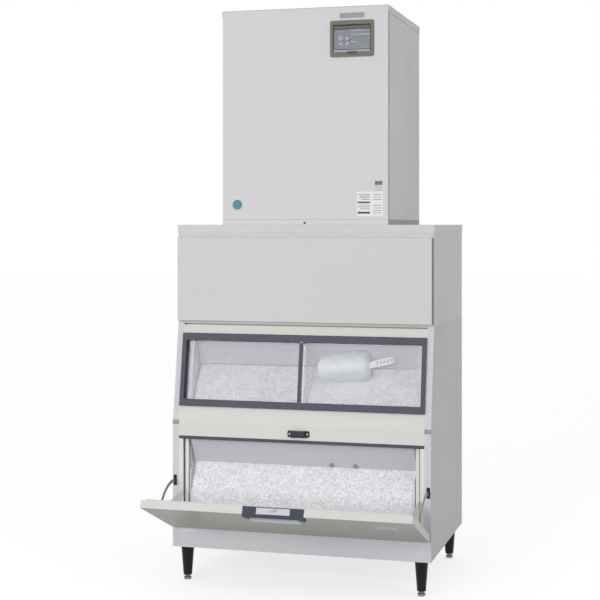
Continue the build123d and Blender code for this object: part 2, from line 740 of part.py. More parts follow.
def window_frame():
    """The dark moulded frame: two rails and two stiles, grooved for both panes."""
    half = MOUTH_HALF
    frame = slope_block((-half, half), (FRAME_START, FRAME_END), (-FRAME_BACK, FRAME_PROUD))
    frame = fillet(frame.faces().sort_by(Axis.Y)[0].edges(), FOLD_RADIUS)
    opening = (FRAME_START + FRAME_RAIL, FRAME_END - FRAME_RAIL)
    frame -= slope_block((-FRAME_OPEN_HALF, FRAME_OPEN_HALF), opening, (-FRAME_BACK, FRAME_PROUD))
    for groove in tracks():
        frame -= groove
    return frame


def pane(side, drop):
    """A sliding pane: side is -1 or 1, drop is its front face's depth behind the slope."""
    outer = FRAME_OPEN_HALF + TRACK_DEPTH - PANE_GAP
    inner = -PANE_OVERLAP / 2
    x = (inner, outer) if side > 0 else (-outer, -inner)
    top = FRAME_START + FRAME_RAIL - TRACK_DEPTH + 1
    foot = FRAME_END - FRAME_RAIL + TRACK_DEPTH - PANE_GAP
    return slope_block(x, (top, foot), (-drop - PANE_THICK, -drop))


def front_pane_drop():
    return FRONT_TRACK_DROP + (TRACK_WIDTH - PANE_THICK) / 2


def right_pane():
    return pane(1, front_pane_drop())


def left_pane():
    return pane(-1, front_pane_drop() + TRACK_PITCH)


def pane_strip():
    """The dark grip strip along the front pane's free edge."""
    face = -front_pane_drop()
    edge = -PANE_OVERLAP / 2
    s = (FRAME_START + FRAME_RAIL + 1, FRAME_END - FRAME_RAIL - 1)
    strip = slope_block((edge, edge + STRIP_WIDTH), s, (face, face + STRIP_THICK))
    down = Axis((0, 0, 0), SLOPE_PLANE.y_dir)
    out = Axis((0, 0, 0), SLOPE_PLANE.z_dir)
    return fillet(strip.edges().filter_by(down).sort_by(out)[-2:], 1.5)


# Door, drawn closed


def ear_slots():
    """The space that the fixed hinge ears sweep as the door swings."""
    cut = None
    for x in BRACKET_X:
        half = BRACKET_THICK / 2 + 1
        low = HINGE_Z - DOOR_DROP - 1
        high = HINGE_Z + BRACKET_EAR + 1.5
        slot = block((x - half, x + half), (HINGE_Y - BRACKET_EAR - 1.5, FRONT_Y), (low, high))
        cut = slot if cut is None else cut + slot
    return cut


def handle_space():
    """The block of the door that the handle's housing fills."""
    y = (DOOR_OUT_Y - HANDLE_PROUD, DOOR_IN_Y)
    return block((-HANDLE_HALF, HANDLE_HALF), y, (DOOR_TOP - HANDLE_HEIGHT, DOOR_TOP))


def door_outer_skin():
    """The door's outer pan, open towards the bin."""
    pan = block((-DOOR_HALF, DOOR_HALF), (DOOR_OUT_Y, DOOR_IN_Y), (DOOR_FOOT, DOOR_TOP))
    pan = fillet(pan.faces().sort_by(Axis.Y)[0].edges(), FOLD_RADIUS)
    inner = DOOR_HALF - SHEET
    pan -= block((-inner, inner), (DOOR_OUT_Y + SHEET, DOOR_IN_Y), (DOOR_FOOT + SHEET, DOOR_TOP - SHEET))
    pan -= handle_space()
    pan -= ear_slots()
    pan -= rod_x(HINGE_ROD_RADIUS + RUNNING_GAP, (-DOOR_HALF, DOOR_HALF), HINGE_Y, HINGE_Z)
    return swung(pan)


def cheek():
    """A side plate that keeps the ice from spilling past the open door's end."""
    outline = [
        (DOOR_IN_Y, HINGE_Z + CHEEK_LOW),
        (DOOR_IN_Y, HINGE_Z + CHEEK_HIGH),
        (HINGE_Y + CHEEK_REACH, HINGE_Z + CHEEK_LOW + 3),
        (HINGE_Y + CHEEK_REACH - 3, HINGE_Z + CHEEK_LOW),
    ]
    middle = JAMB_IN - GUIDE_SLOT / 2
    return side_slab(outline, (middle - CHEEK_THICK / 2, middle + CHEEK_THICK / 2))


def door_liner():
    """The white inner half of the door, foamed solid, with a cheek at each end."""
    half = DOOR_HALF - SHEET
    core_z = (DOOR_FOOT + SHEET, DOOR_TOP - SHEET)
    core = block((-half, half), (DOOR_OUT_Y + SHEET, DOOR_IN_Y), core_z)
    core -= handle_space()
    core -= ear_slots()
    core -= rod_x(HINGE_ROD_RADIUS + RUNNING_GAP, (-half, half), HINGE_Y, HINGE_Z)
    core -= stay_end()
    core -= mirror(stay_end(), about=Plane.YZ)
    core += cheek()
    core += mirror(cheek(), about=Plane.YZ)
    return swung(core)


def door_gasket():
    """The soft seal round the door's inner face."""
    half = DOOR_GASKET_HALF
    foot = HINGE_Z + DOOR_GASKET_FOOT
    top = DOOR_TOP - DOOR_GASKET_TOP
    width = DOOR_GASKET_WIDTH
    y = (DOOR_IN_Y, DOOR_IN_Y + DOOR_GASKET_THICK)
    ring = block((-half, half), y, (foot, top))
    ring = fillet(ring.faces().sort_by(Axis.Y)[-1].edges(), 2)
    ring -= block((width - half, half - width), y, (foot + width, top - width))
    return swung(ring)


def stay_arc(low, high, radius, width, x):
    """Part of a ring about the hinge: the angles run from upright towards the bin."""
    ring = rod_x(radius + width / 2, x, HINGE_Y, HINGE_Z)
    ring -= rod_x(radius - width / 2, x, HINGE_Y, HINGE_Z)
    reach = 2 * radius
    middle = radians((low + high) / 2)
    spread = radians((high - low) / 2)
    corners = [(0.0, 0.0)]
    for angle in (middle - spread, middle, middle + spread):
        stretch = reach if angle == middle else reach / cos(spread)
        corners.append((stretch * sin(angle), stretch * cos(angle)))
    wedge = [(HINGE_Y + y, HINGE_Z + z) for y, z in corners]
    return ring & side_slab(wedge, x)


def stay():
    """The curved strap that holds the open door, with a stop at its tail."""
    x = (STAY_X - STAY_THICK / 2, STAY_X + STAY_THICK / 2)
    strap = stay_arc(0, STAY_TAIL, STAY_RADIUS, STAY_WIDTH, x)
    stop = STAY_WIDTH + STAY_STOP_WIDTH
    return strap + stay_arc(STAY_TAIL, STAY_TAIL + STAY_STOP, STAY_RADIUS, stop, x)


def stay_end():
    """The pocket in the door that the right-hand stay's end sits in."""
    return stay_arc(0, 8, STAY_RADIUS, STAY_WIDTH, (STAY_X - STAY_THICK / 2, STAY_X + STAY_THICK / 2))


def door_stays():
    return swung(both_sides(stay()))


def bush_body(gap):
    """The part of a stay's bush that sits in the pillar's slot."""
    half = BUSH_WIDTH / 2 + gap
    height = BUSH_HEIGHT / 2 + gap
    middle = stay_slot_z()
    rear = FRONT_Y + BUSH_DEPTH
    return block((STAY_X - half, STAY_X + half), (FRONT_Y - gap, rear), (middle - height, middle + height))


def stay_slot_z():
    """The height at which the stay passes through the pillar's face."""
    return HINGE_Z + (STAY_RADIUS**2 - (FRONT_Y - HINGE_Y) ** 2) ** 0.5


def stay_bushes():
    """The black plastic bushes that the stays slide through."""
    rim = BUSH_RIM
    middle = stay_slot_z()
    flange_x = (STAY_X - BUSH_WIDTH / 2 - rim, STAY_X + BUSH_WIDTH / 2 + rim)
    flange_z = (middle - BUSH_HEIGHT / 2 - rim, middle + BUSH_HEIGHT / 2 + rim)
    bush = bush_body(0) + block(flange_x, (FRONT_Y - rim, FRONT_Y), flange_z)
    room = STAY_THICK / 2 + 0.5
    path = stay_arc(-40, 40, STAY_RADIUS, STAY_WIDTH + 2, (STAY_X - room, STAY_X + room))
    return both_sides(bush - path)


def door_hinge():
    """The rod that the door turns on, and the three brackets that carry it."""
    rod = rod_x(HINGE_ROD_RADIUS, (-DOOR_HALF + SHEET, DOOR_HALF - SHEET), HINGE_Y, HINGE_Z)
    pieces = [rod]
    for x in BRACKET_X:
        span = (x - BRACKET_THICK / 2, x + BRACKET_THICK / 2)
        ear = rod_x(BRACKET_EAR, span, HINGE_Y, HINGE_Z)
        ear += block(span, (HINGE_Y, FRONT_Y), (HINGE_Z - BRACKET_EAR, HINGE_Z + BRACKET_EAR))
        flange_x = (x - BRACKET_FLANGE_HALF, x + BRACKET_FLANGE_HALF)
        flange_z = (HINGE_Z - BRACKET_FLANGE_DROP, HINGE_Z + BRACKET_FLANGE_RISE)
        ear += block(flange_x, (FRONT_Y - BRACKET_FLANGE, FRONT_Y), flange_z)
        pieces.append(ear - rod_x(HINGE_ROD_RADIUS + RUNNING_GAP, span, HINGE_Y, HINGE_Z))
    return group(pieces)


# Handle and latch, drawn closed


def handle_housing():
    """The dark moulding let into the door's top edge."""
    body = handle_space()
    front = DOOR_OUT_Y - HANDLE_PROUD
    low = DOOR_TOP - HANDLE_HEIGHT
    ends = body.edges().filter_by(Axis.Z).group_by(Axis.Y)[0]
    chin = body.edges().filter_by(Axis.X).group_by(Axis.Y)[0].sort_by(Axis.Z)[0:1]
    body = fillet(ends + chin, HANDLE_ROUND)
    recess = PADDLE_HALF + 1
    body -= block((-recess, recess), (front, front + PADDLE_BAY), (low, DOOR_TOP - HANDLE_ROOF))
    pin_end = recess + PADDLE_PIN_LENGTH
    body -= rod_x(PADDLE_PIN + RUNNING_GAP, (-pin_end, pin_end), PADDLE_Y, PADDLE_Z)
    plate_z = (DOOR_TOP - LATCH_PLATE_THICK, DOOR_TOP)
    body -= block((-LATCH_PLATE_HALF, LATCH_PLATE_HALF), plate_span(), plate_z)
    bolt = BOLT_HALF + BOLT_GAP
    body -= block((-bolt, bolt), bolt_span(BOLT_GAP), (low, DOOR_TOP))
    return swung(body)


def plate_span():
    return (DOOR_OUT_Y + 3, DOOR_IN_Y - 3)


def bolt_span(gap):
    middle = (DOOR_IN_Y + DOOR_OUT_Y) / 2 + BOLT_SHIFT
    return (middle - BOLT_THICK / 2 - gap, middle + BOLT_THICK / 2 + gap)


def handle_paddle():
    """The pale grip: a curved plate that hangs from a barrel and is pulled out from below."""
    half = PADDLE_HALF
    corners = [(PADDLE_Y + y, PADDLE_Z + z) for y, z in PADDLE_LINE]
    line = FilletPolyline(*corners, radius=PADDLE_BEND)
    outline = make_face(offset(line, PADDLE_THICK, side=Side.LEFT, kind=Kind.INTERSECTION).edges())
    grip = extrude(Plane.YZ.offset(-half) * outline, 2 * half, dir=(1, 0, 0))
    grip += rod_x(PADDLE_BARREL, (-half, half), PADDLE_Y, PADDLE_Z)
    reach = half + PADDLE_PIN_LENGTH
    grip += rod_x(PADDLE_PIN, (-reach, reach), PADDLE_Y, PADDLE_Z)
    return swung(grip)


def latch_plate():
    """The pale plate over the latch, with the bolt's slot."""
    half = LATCH_PLATE_HALF
    z = (DOOR_TOP - LATCH_PLATE_THICK, DOOR_TOP)
    bolt = BOLT_HALF + BOLT_GAP
    return swung(block((-half, half), plate_span(), z) - block((-bolt, bolt), bolt_span(BOLT_GAP), z))


def latch_bolt():
    """The spring bolt, with its nose rounded on both sides."""
    bolt = block((-BOLT_HALF, BOLT_HALF), bolt_span(0), (DOOR_TOP - BOLT_LENGTH, DOOR_TOP + BOLT_RISE))
    nose = bolt.faces().sort_by(Axis.Z)[-1].edges().filter_by(Axis.X)
    return swung(fillet(nose, BOLT_THICK / 2 - 0.4))


def door_striker():
    """The keeper on the middle panel: a flange for two screws and a hump over the bolt."""
    top = DOOR_TOP + STRIKER_CLEAR + STRIKER_HEIGHT
    z = (top - STRIKER_HEIGHT, top)
    flange = block((-STRIKER_HALF, STRIKER_HALF), (FRONT_Y - STRIKER_FLANGE, FRONT_Y), z)
    flange = fillet(flange.edges().filter_by(Axis.Y), STRIKER_ROUND)
    hump = block((-STRIKER_HUMP_HALF, STRIKER_HUMP_HALF), (FRONT_Y - STRIKER_DEPTH, FRONT_Y), z)
    hump = fillet(hump.faces().sort_by(Axis.Y)[0].edges(), STRIKER_ROUND / 2)
    notch = BOLT_HALF + 3
    pocket_y = (FRONT_Y - STRIKER_DEPTH + 1, FRONT_Y - KEEPER_POCKET)
    keeper = flange + hump - block((-notch, notch), pocket_y, (z[0] - 1, z[0] + KEEPER_POCKET))
    lip_y = (FRONT_Y - STRIKER_DEPTH - 1, FRONT_Y - KEEPER_POCKET)
    return keeper - block((-notch, notch), lip_y, (z[0] - 1, z[0] + KEEPER_LIP))


# Legs


def bin_legs():
    """The black tapered legs, each bored for its foot's stud."""
    legs = []
    for x, y in leg_places().values():
        outline = [
            (0, FOOT_SHOWS),
            (LEG_FOOT_RADIUS, FOOT_SHOWS),
            (LEG_TOP_RADIUS, BASE_Z - LEG_COLLAR),
            (LEG_TOP_RADIUS, BASE_Z),
            (LEG_BOLT_RADIUS, BASE_Z),
            (LEG_BOLT_RADIUS, BASE_Z + LEG_BOLT_RISE),
            (0, BASE_Z + LEG_BOLT_RISE),
        ]
        leg = revolve(Plane.XZ * Polygon(*outline, align=None), Axis.Z)
        leg -= rod_z(STUD_RADIUS + RUNNING_GAP, 0, 0, (FOOT_SHOWS, FOOT_SHOWS + STUD_BORE))
        legs.append(Pos(x, y, 0) * leg)
    return group(legs)


def foot(place):
    """A levelling foot: a chamfered steel sole on a stud that screws up into the leg."""
    x, y = leg_places()[place]
    outline = [
        (0, 0),
        (FOOT_RADIUS - 2, 0),
        (FOOT_RADIUS, 2),
        (FOOT_RADIUS, FOOT_SOLE),
        (FOOT_WAIST, FOOT_SOLE + 2),
        (FOOT_WAIST, FOOT_SHOWS - 0.2),
        (STUD_RADIUS, FOOT_SHOWS - 0.2),
        (STUD_RADIUS, FOOT_SHOWS + STUD_LENGTH),
        (0, FOOT_SHOWS + STUD_LENGTH),
    ]
    return Pos(x, y, 0) * revolve(Plane.XZ * Polygon(*outline, align=None), Axis.Z)


# Head casing


def head_base():
    """The head's base pan, with the chute's hole."""
    z = (TOP_Z, PANEL_FOOT_Z)
    pan = block((-HEAD_HALF, HEAD_HALF), (HEAD_FRONT, HEAD_REAR), z)
    inner = (SHEET - HEAD_HALF, HEAD_HALF - SHEET)
    pan -= block(inner, (HEAD_FRONT + SHEET, HEAD_REAR - SHEET), (HEAD_FLOOR, PANEL_FOOT_Z))
    return pan - chute_space(0.5, (TOP_Z - 1, PANEL_FOOT_Z))


def head_front_panel():
    """The head's front: a pan open at the back, cut out for the control panel."""
    z = (PANEL_FOOT_Z, HEAD_TOP - SHEET)
    pan = block((-HEAD_HALF, HEAD_HALF), (HEAD_FRONT, HEAD_FRONT + HEM), z)
    pan = fillet(pan.faces().sort_by(Axis.Y)[0].edges(), FOLD_RADIUS)
    inner = HEAD_HALF - SHEET
    pan -= block((-inner, inner), (HEAD_FRONT + SHEET, HEAD_FRONT + HEM), (z[0] + SHEET, z[1] - SHEET))
    return pan - control_block(BEZEL_SLEEVE, (HEAD_FRONT - 1, HEAD_FRONT + SHEET + 1))


def head_side_panels():
    """Plain sides, folded in along the back edge, with air slots low on the left one."""
    y = (HEAD_FRONT + HEM, HEAD_REAR)
    z = (PANEL_FOOT_Z, HEAD_TOP - SHEET)
    wall = block((HEAD_HALF - SHEET, HEAD_HALF), y, z)
    wall += block((HEAD_HALF - HEM, HEAD_HALF), (HEAD_REAR - SHEET, HEAD_REAR), z)
    left = mirror(wall, about=Plane.YZ)
    for i in range(INTAKE_SLOTS):
        low = PANEL_FOOT_Z + INTAKE_FOOT + i * INTAKE_PITCH
        slot = (HEAD_FRONT + INTAKE_FRONT, HEAD_FRONT + INTAKE_FRONT + INTAKE_LENGTH)
        left -= block((-HEAD_HALF - 1, SHEET + 1 - HEAD_HALF), slot, (low, low + INTAKE_GAP))
    return group([wall, left])


def head_back_panel():
    """The rear sheet, with a bank of pressed louvres for the condenser's air."""
    half = HEAD_HALF - HEM
    z = (PANEL_FOOT_Z, HEAD_TOP - SHEET)
    panel = block((-half, half), (HEAD_REAR - SHEET, HEAD_REAR), z)
    for i in range(LOUVRE_ROWS):
        low = TOP_Z + LOUVRE_FOOT + i * LOUVRE_PITCH
        x = (FAN_X - LOUVRE_LENGTH / 2, FAN_X + LOUVRE_LENGTH / 2)
        panel -= block(x, (HEAD_REAR - SHEET, HEAD_REAR), (low, low + LOUVRE_GAP))
        hood = [
            (HEAD_REAR - SHEET, low + LOUVRE_GAP),
            (HEAD_REAR - SHEET, low + LOUVRE_GAP + SHEET),
            (HEAD_REAR, low + LOUVRE_GAP + SHEET),
            (HEAD_REAR + LOUVRE_DEPTH, low + SHEET),
            (HEAD_REAR + LOUVRE_DEPTH - SHEET, low),
        ]
        panel += side_slab(hood, x)
    through = (HEAD_REAR - 2 * SHEET, HEAD_REAR + 1)
    panel -= rod_y(INLET_RADIUS + BUSH_GAP, INLET_X, through, INLET_Z)
    return panel - rod_y(DRAIN_RADIUS + BUSH_GAP, HEAD_DRAIN_X, through, HEAD_DRAIN_Z)


def head_top_cover():
    """The lid of the head, lipped down over the sides and the back."""
    half = HEAD_HALF + SHEET
    cover = block((-half, half), (HEAD_FRONT, HEAD_REAR + SHEET), (HEAD_TOP - COVER_LIP, HEAD_TOP))
    cover = fillet(cover.faces().sort_by(Axis.Z)[-1].edges().sort_by(Axis.Y)[1:], FOLD_RADIUS)
    hollow = (HEAD_TOP - COVER_LIP, HEAD_TOP - SHEET)
    return cover - block((-HEAD_HALF, HEAD_HALF), (HEAD_FRONT, HEAD_REAR), hollow)


# Control panel


def control_block(border, y):
    """A block at the control panel, drawn in from the bezel's edge by a border."""
    half_x = BEZEL_WIDTH / 2 - border
    half_z = BEZEL_HEIGHT / 2 - border
    z = TOP_Z + BEZEL_Z
    return block((BEZEL_X - half_x, BEZEL_X + half_x), y, (z - half_z, z + half_z))


def cover_space(gap):
    """The opening that the clear cover fills."""
    half_x = COVER_WIDTH / 2 - gap
    half_z = COVER_HEIGHT / 2
    z = TOP_Z + BEZEL_Z
    return (BEZEL_X - half_x, BEZEL_X + half_x), (z - half_z + gap, z + half_z - gap)


def control_bezel():
    """The olive surround with the key panel behind its window and the keys' guides."""
    front = HEAD_FRONT - BEZEL_PROUD
    face = HEAD_FRONT + KEYPAD_DEPTH
    rim = control_block(0, (front, HEAD_FRONT))
    rim = fillet(rim.edges().filter_by(Axis.Y), BEZEL_ROUND)
    rim = fillet(rim.faces().sort_by(Axis.Y)[0].edges(), 1.2)
    body = rim + control_block(BEZEL_SLEEVE + BUSH_GAP, (HEAD_FRONT, face + KEYPAD_THICK))
    x, z = cover_space(0)
    body -= block(x, (front, face), z)
    for place in (RUN_X, STOP_X):
        stem_y = (face - 1, face + KEYPAD_THICK + 1)
        body -= rod_y(KEY_RADIUS - 1 + BUSH_GAP, BEZEL_X + place, stem_y, TOP_Z + BEZEL_Z + KEY_Z)
    socket = (x[0] - COVER_PIN_LENGTH, x[1] + COVER_PIN_LENGTH)
    return body - rod_x(COVER_PIN + RUNNING_GAP, socket, COVER_HINGE_Y, COVER_HINGE_Z)


def control_cover():
    """The smoked clear flap, hinged on a barrel along its top, with a finger tab at its foot."""
    x, z = cover_space(0.5)
    face = COVER_HINGE_Y - COVER_THICK / 2
    flap = block(x, (face, face + COVER_THICK), (z[0], COVER_HINGE_Z))
    flap += rod_x(COVER_BARREL, x, COVER_HINGE_Y, COVER_HINGE_Z)
    tab = (BEZEL_X - COVER_TAB / 2, BEZEL_X + COVER_TAB / 2)
    flap += block(tab, (face - 2, COVER_HINGE_Y), (z[0], z[0] + 5))
    pins = (x[0] - COVER_PIN_LENGTH + 0.5, x[1] + COVER_PIN_LENGTH - 0.5)
    return flap + rod_x(COVER_PIN, pins, COVER_HINGE_Y, COVER_HINGE_Z)


def key(place):
    """A round push key: a bevelled cap on a stem through the key panel."""
    face = HEAD_FRONT + KEYPAD_DEPTH
    z = TOP_Z + BEZEL_Z + KEY_Z
    cap = rod_y(KEY_RADIUS, BEZEL_X + place, (face - KEY_TRAVEL - KEY_CAP, face - KEY_TRAVEL - 0.2), z)
    cap = chamfer(cap.edges().sort_by(Axis.Y)[0], 1.0)
    stem = rod_y(KEY_RADIUS - 1, BEZEL_X + place, (face - KEY_TRAVEL - 1, face + KEYPAD_THICK + 2), z)
    return cap + stem


# Ice making works


def compressor():
    """The sealed compressor on its base plate and four rubber feet."""
    x, y = COMPRESSOR_X, COMPRESSOR_Y
    low = HEAD_FLOOR + GROMMET_HEIGHT
    radius = COMPRESSOR_RADIUS
    plate = Pos(x, y, low + 2) * Box(2 * radius, 2 * radius, 4)
    dome = [
        (0, 4),
        (radius - 6, 4),
        (radius - 6, COMPRESSOR_HEIGHT - radius / 2),
        (radius * 0.8, COMPRESSOR_HEIGHT - radius / 5),
        (radius / 2, COMPRESSOR_HEIGHT),
        (0, COMPRESSOR_HEIGHT),
    ]
    can = Pos(x, y, low) * revolve(Plane.XZ * Polygon(*dome, align=None), Axis.Z)
    body = plate + can + rod_z(radius - 2, x, y, (low + COMPRESSOR_SEAM, low + COMPRESSOR_SEAM + 8))
    for dx in (-radius + 14, radius - 14):
        for dy in (-radius + 14, radius - 14):
            body += rod_z(12, x + dx, y + dy, (HEAD_FLOOR, low + 12))
    return body


def condenser():
    """The finned condenser and the fan's shroud in front of it."""
    low = TOP_Z + FAN_Z - CONDENSER_HEIGHT / 2
    high = low + CONDENSER_HEIGHT
    y = (CONDENSER_REAR - CONDENSER_DEPTH, CONDENSER_REAR)
    left = FAN_X - CONDENSER_WIDTH / 2
    pitch = CONDENSER_WIDTH / (FIN_COUNT - 1)
    coil = block((left, left + CONDENSER_WIDTH + FIN_THICK), y, (low, low + 2))
    for i in range(FIN_COUNT):
        coil += block((left + i * pitch, left + i * pitch + FIN_THICK), y, (low, high))
    for i in range(CONDENSER_TUBES):
        z = low + (i + 0.5) * CONDENSER_HEIGHT / CONDENSER_TUBES
        coil += block((left - 8, left + CONDENSER_WIDTH + 8), (y[0] + 8, y[1] - 8), (z - 3, z + 3))
    shroud_y = (y[0] - SHROUD_DEPTH, y[0])
    shroud = block((left, left + CONDENSER_WIDTH + FIN_THICK), shroud_y, (low, high))
    inside = (left + 3, left + CONDENSER_WIDTH - 3)
    shroud -= block(inside, (shroud_y[0] + 2, shroud_y[1]), (low + 3, high - 3))
    shroud -= rod_y(FAN_RADIUS + FAN_TIP_GAP, FAN_X, shroud_y, TOP_Z + FAN_Z)
    legs = block((left, left + 2), (y[0], y[1]), (HEAD_FLOOR, low))
    legs += block((left + CONDENSER_WIDTH - 2, left + CONDENSER_WIDTH), (y[0], y[1]), (HEAD_FLOOR, low))
    return coil + shroud + legs


def fan_motor():
    """The fan's motor on a three-armed spider that bolts to the shroud."""
    z = TOP_Z + FAN_Z
    rear = SHROUD_FACE - FAN_MOTOR_GAP
    body = rod_y(FAN_MOTOR_RADIUS, FAN_X, (rear - FAN_MOTOR_LENGTH, rear), z)
    body = chamfer(body.edges().sort_by(Axis.Y)[0], 6)
    reach = FAN_RADIUS + 14
    for i in range(3):
        arm = Pos(0, 0, reach / 2) * Box(12, 3, reach)
        foot = Pos(0, (SHROUD_FACE - rear) / 2, reach) * Box(12, SHROUD_FACE - rear + 3, 6)
        body += Pos(FAN_X, rear - 1.5, z) * Rot(0, 120 * i, 0) * (arm + foot)
    return body - rod_y(FAN_SHAFT + RUNNING_GAP, FAN_X, (rear - FAN_MOTOR_LENGTH / 2, rear + 1), z)


def fan_blade():
    """The fan: a hub with pitched blades and its shaft."""
    front = SHROUD_FACE - FAN_MOTOR_GAP + FAN_HUB_GAP
    hub = rod_y(FAN_HUB_RADIUS, 0, (0, FAN_HUB_WIDTH), 0)
    for i in range(FAN_BLADES):
        blade = Rot(0, 0, FAN_BLADE_PITCH) * Box(FAN_BLADE_WIDTH, FAN_BLADE_THICK, FAN_RADIUS)
        blade = Pos(0, FAN_HUB_WIDTH / 2, 10 + FAN_RADIUS / 2) * blade
        hub += Rot(0, i * 360 / FAN_BLADES, 0) * blade
    hub &= rod_y(FAN_RADIUS, 0, (-30, 60), 0)
    hub += rod_y(FAN_SHAFT, 0, (-FAN_MOTOR_LENGTH / 2 + 2, 1), 0)
    return Pos(FAN_X, front, TOP_Z + FAN_Z) * hub


def gear_motor():
    """The gearbox under the evaporator, with its motor lying to the back."""
    x, y = EVAP_X, EVAP_Y
    neck = TOP_Z + EVAP_FOOT
    box_top = HEAD_FLOOR + GEARBOX_HEIGHT
    half = GEARBOX_HALF
    foot_x, foot_y = GEARBOX_FOOT_HALF
    body = block((x - half, x + half), (y - half, y + half), (HEAD_FLOOR, box_top))
    body = fillet(body.edges().filter_by(Axis.Z), GEARBOX_ROUND)
    foot_z = (HEAD_FLOOR, HEAD_FLOOR + GEARBOX_FOOT_THICK)
    body += block((x - foot_x, x + foot_x), (y - foot_y, y + foot_y), foot_z)
    body += rod_z(NECK_RADIUS, x, y, (box_top, neck))
    motor_y = (y + half - 2, y + half + GEAR_MOTOR_LENGTH)
    motor = rod_y(GEAR_MOTOR_RADIUS, x, motor_y, HEAD_FLOOR + GEARBOX_HEIGHT / 2 + 2)
    body += chamfer(motor.edges().sort_by(Axis.Y)[-1], 8)
    return body - rod_z(SHAFT_RADIUS + RUNNING_GAP, x, y, (box_top - 40, neck + 1))


def evaporator():
    """The freezing barrel: a foamed cylinder with flanged ends and the extruding head in its top."""
    x, y = EVAP_X, EVAP_Y
    low = TOP_Z + EVAP_FOOT
    high = low + EVAP_HEIGHT
    barrel = rod_z(EVAP_RADIUS, x, y, (low, high))
    barrel += rod_z(EVAP_RADIUS + 8, x, y, (low, low + 8))
    barrel += rod_z(EVAP_RADIUS + 8, x, y, (high - 8, high))
    barrel += Pos(x + EVAP_RADIUS, y, low + 30) * Rot(0, 90, 0) * Cylinder(9, 30)
    barrel -= rod_z(BARREL_RADIUS, x, y, (low - 1, high - EXTRUDER_HEIGHT))
    barrel -= rod_z(SHAFT_RADIUS + RUNNING_GAP, x, y, (low, high + 1))
    for i in range(EXTRUDER_SLOTS):
        slot = Pos(EXTRUDER_SLOT_AT, 0, high) * Box(14, 8, 2 * EXTRUDER_HEIGHT + 4)
        barrel -= Pos(x, y, 0) * Rot(0, 0, i * 360 / EXTRUDER_SLOTS) * slot
    return barrel


def auger():
    """The auger that scrapes the ice up the barrel, with the cutter on its top end."""
    low = TOP_Z + EVAP_FOOT
    high = low + EVAP_HEIGHT
    screw_low = low + 4
    screw_high = high - EXTRUDER_HEIGHT - 2
    pitch = (screw_high - screw_low) / (AUGER_TURNS + 1)
    tip = BARREL_RADIUS - AUGER_GAP
    path = Helix(pitch=pitch, height=pitch * AUGER_TURNS, radius=(AUGER_CORE - 2 + tip) / 2)
    start = Plane(origin=path @ 0, x_dir=(1, 0, 0), z_dir=path % 0)
    section = start * Rectangle(tip - AUGER_CORE + 2, 5)
    flight = sweep(section, path=path, is_frenet=True)
    screw = Pos(0, 0, screw_low + pitch / 2) * flight
    screw &= rod_z(tip, 0, 0, (screw_low, screw_high))
    screw += rod_z(AUGER_CORE, 0, 0, (screw_low, screw_high))
    screw += rod_z(SHAFT_RADIUS, 0, 0, (HEAD_FLOOR + GEARBOX_HEIGHT - 30, high + 24))
    cutter = rod_z(20, 0, 0, (high + 2, high + 22))
    for i in range(3):
        cutter += Rot(0, 0, 120 * i) * Pos(22, 0, high + 8) * Box(44, 6, 12)
    return Pos(EVAP_X, EVAP_Y, 0) * (screw + cutter)


def ice_spout():
    """The hood over the barrel and the chute that drops the ice into the bin."""
    top = TOP_Z + EVAP_FOOT + EVAP_HEIGHT
    wall = CHUTE_WALL
    left = CHUTE_X - CHUTE_WIDTH / 2 - wall
    right = EVAP_X + EVAP_RADIUS + 12
    y = (CHUTE_Y - CHUTE_DEPTH / 2 - wall, EVAP_Y + EVAP_RADIUS + 12)
    spout = block((left, right), y, (top, top + HOOD_HEIGHT))
    spout = fillet(spout.faces().sort_by(Axis.Z)[-1].edges(), HOOD_ROUND)
    inside_y = (y[0] + wall, y[1] - wall)
    spout -= block((left + wall, right - wall), inside_y, (top + wall, top + HOOD_HEIGHT - wall))
    spout += chute_space(0, (TOP_Z - CHUTE_DROP, top + wall))
    spout -= chute_space(-wall, (TOP_Z - CHUTE_DROP, top + wall))
    return spout - rod_z(BARREL_RADIUS + 8, EVAP_X, EVAP_Y, (top - 1, top + wall))


def water_reservoir():
    """The feed water's tank, with its lid, on the right side panel."""
    x = (HEAD_HALF - SHEET - RESERVOIR_WIDTH, HEAD_HALF - SHEET)
    y = (RESERVOIR_Y, RESERVOIR_Y + RESERVOIR_LENGTH)
    z = (TOP_Z + RESERVOIR_FOOT, TOP_Z + RESERVOIR_FOOT + RESERVOIR_HEIGHT)
    lip = RESERVOIR_LIP
    tank = block(x, y, z)
    tank = fillet(tank.edges().filter_by(Axis.Z), 2 * lip)
    tank += block((x[0] - lip, x[1]), (y[0] - lip, y[1] + lip), (z[1], z[1] + RESERVOIR_LID))
    outlet = (z[0] - 2 * RESERVOIR_OUTLET, z[0])
    return tank + rod_z(RESERVOIR_OUTLET, (x[0] + x[1]) / 2, y[0] + RESERVOIR_LENGTH / 4, outlet)


def control_box():
    """The electrical box on the left side panel, with its lid's flange."""
    lip = CONTROL_BOX_LIP
    x = (SHEET - HEAD_HALF, SHEET - HEAD_HALF + CONTROL_BOX_WIDTH)
    y = (CONTROL_BOX_Y, CONTROL_BOX_Y + CONTROL_BOX_LENGTH)
    z = (TOP_Z + CONTROL_BOX_FOOT, TOP_Z + CONTROL_BOX_FOOT + CONTROL_BOX_HEIGHT)
    lid = block((x[1], x[1] + SHEET), (y[0] - lip, y[1] + lip), (z[0] - lip, z[1] + lip))
    return block(x, y, z) + lid


def pipe(radius, points, bend):
    """A rigid tube bent along a line of points."""
    path = FilletPolyline(*points, radius=bend)
    return sweep(Plane(origin=path @ 0, z_dir=path % 0) * Circle(radius), path=path)


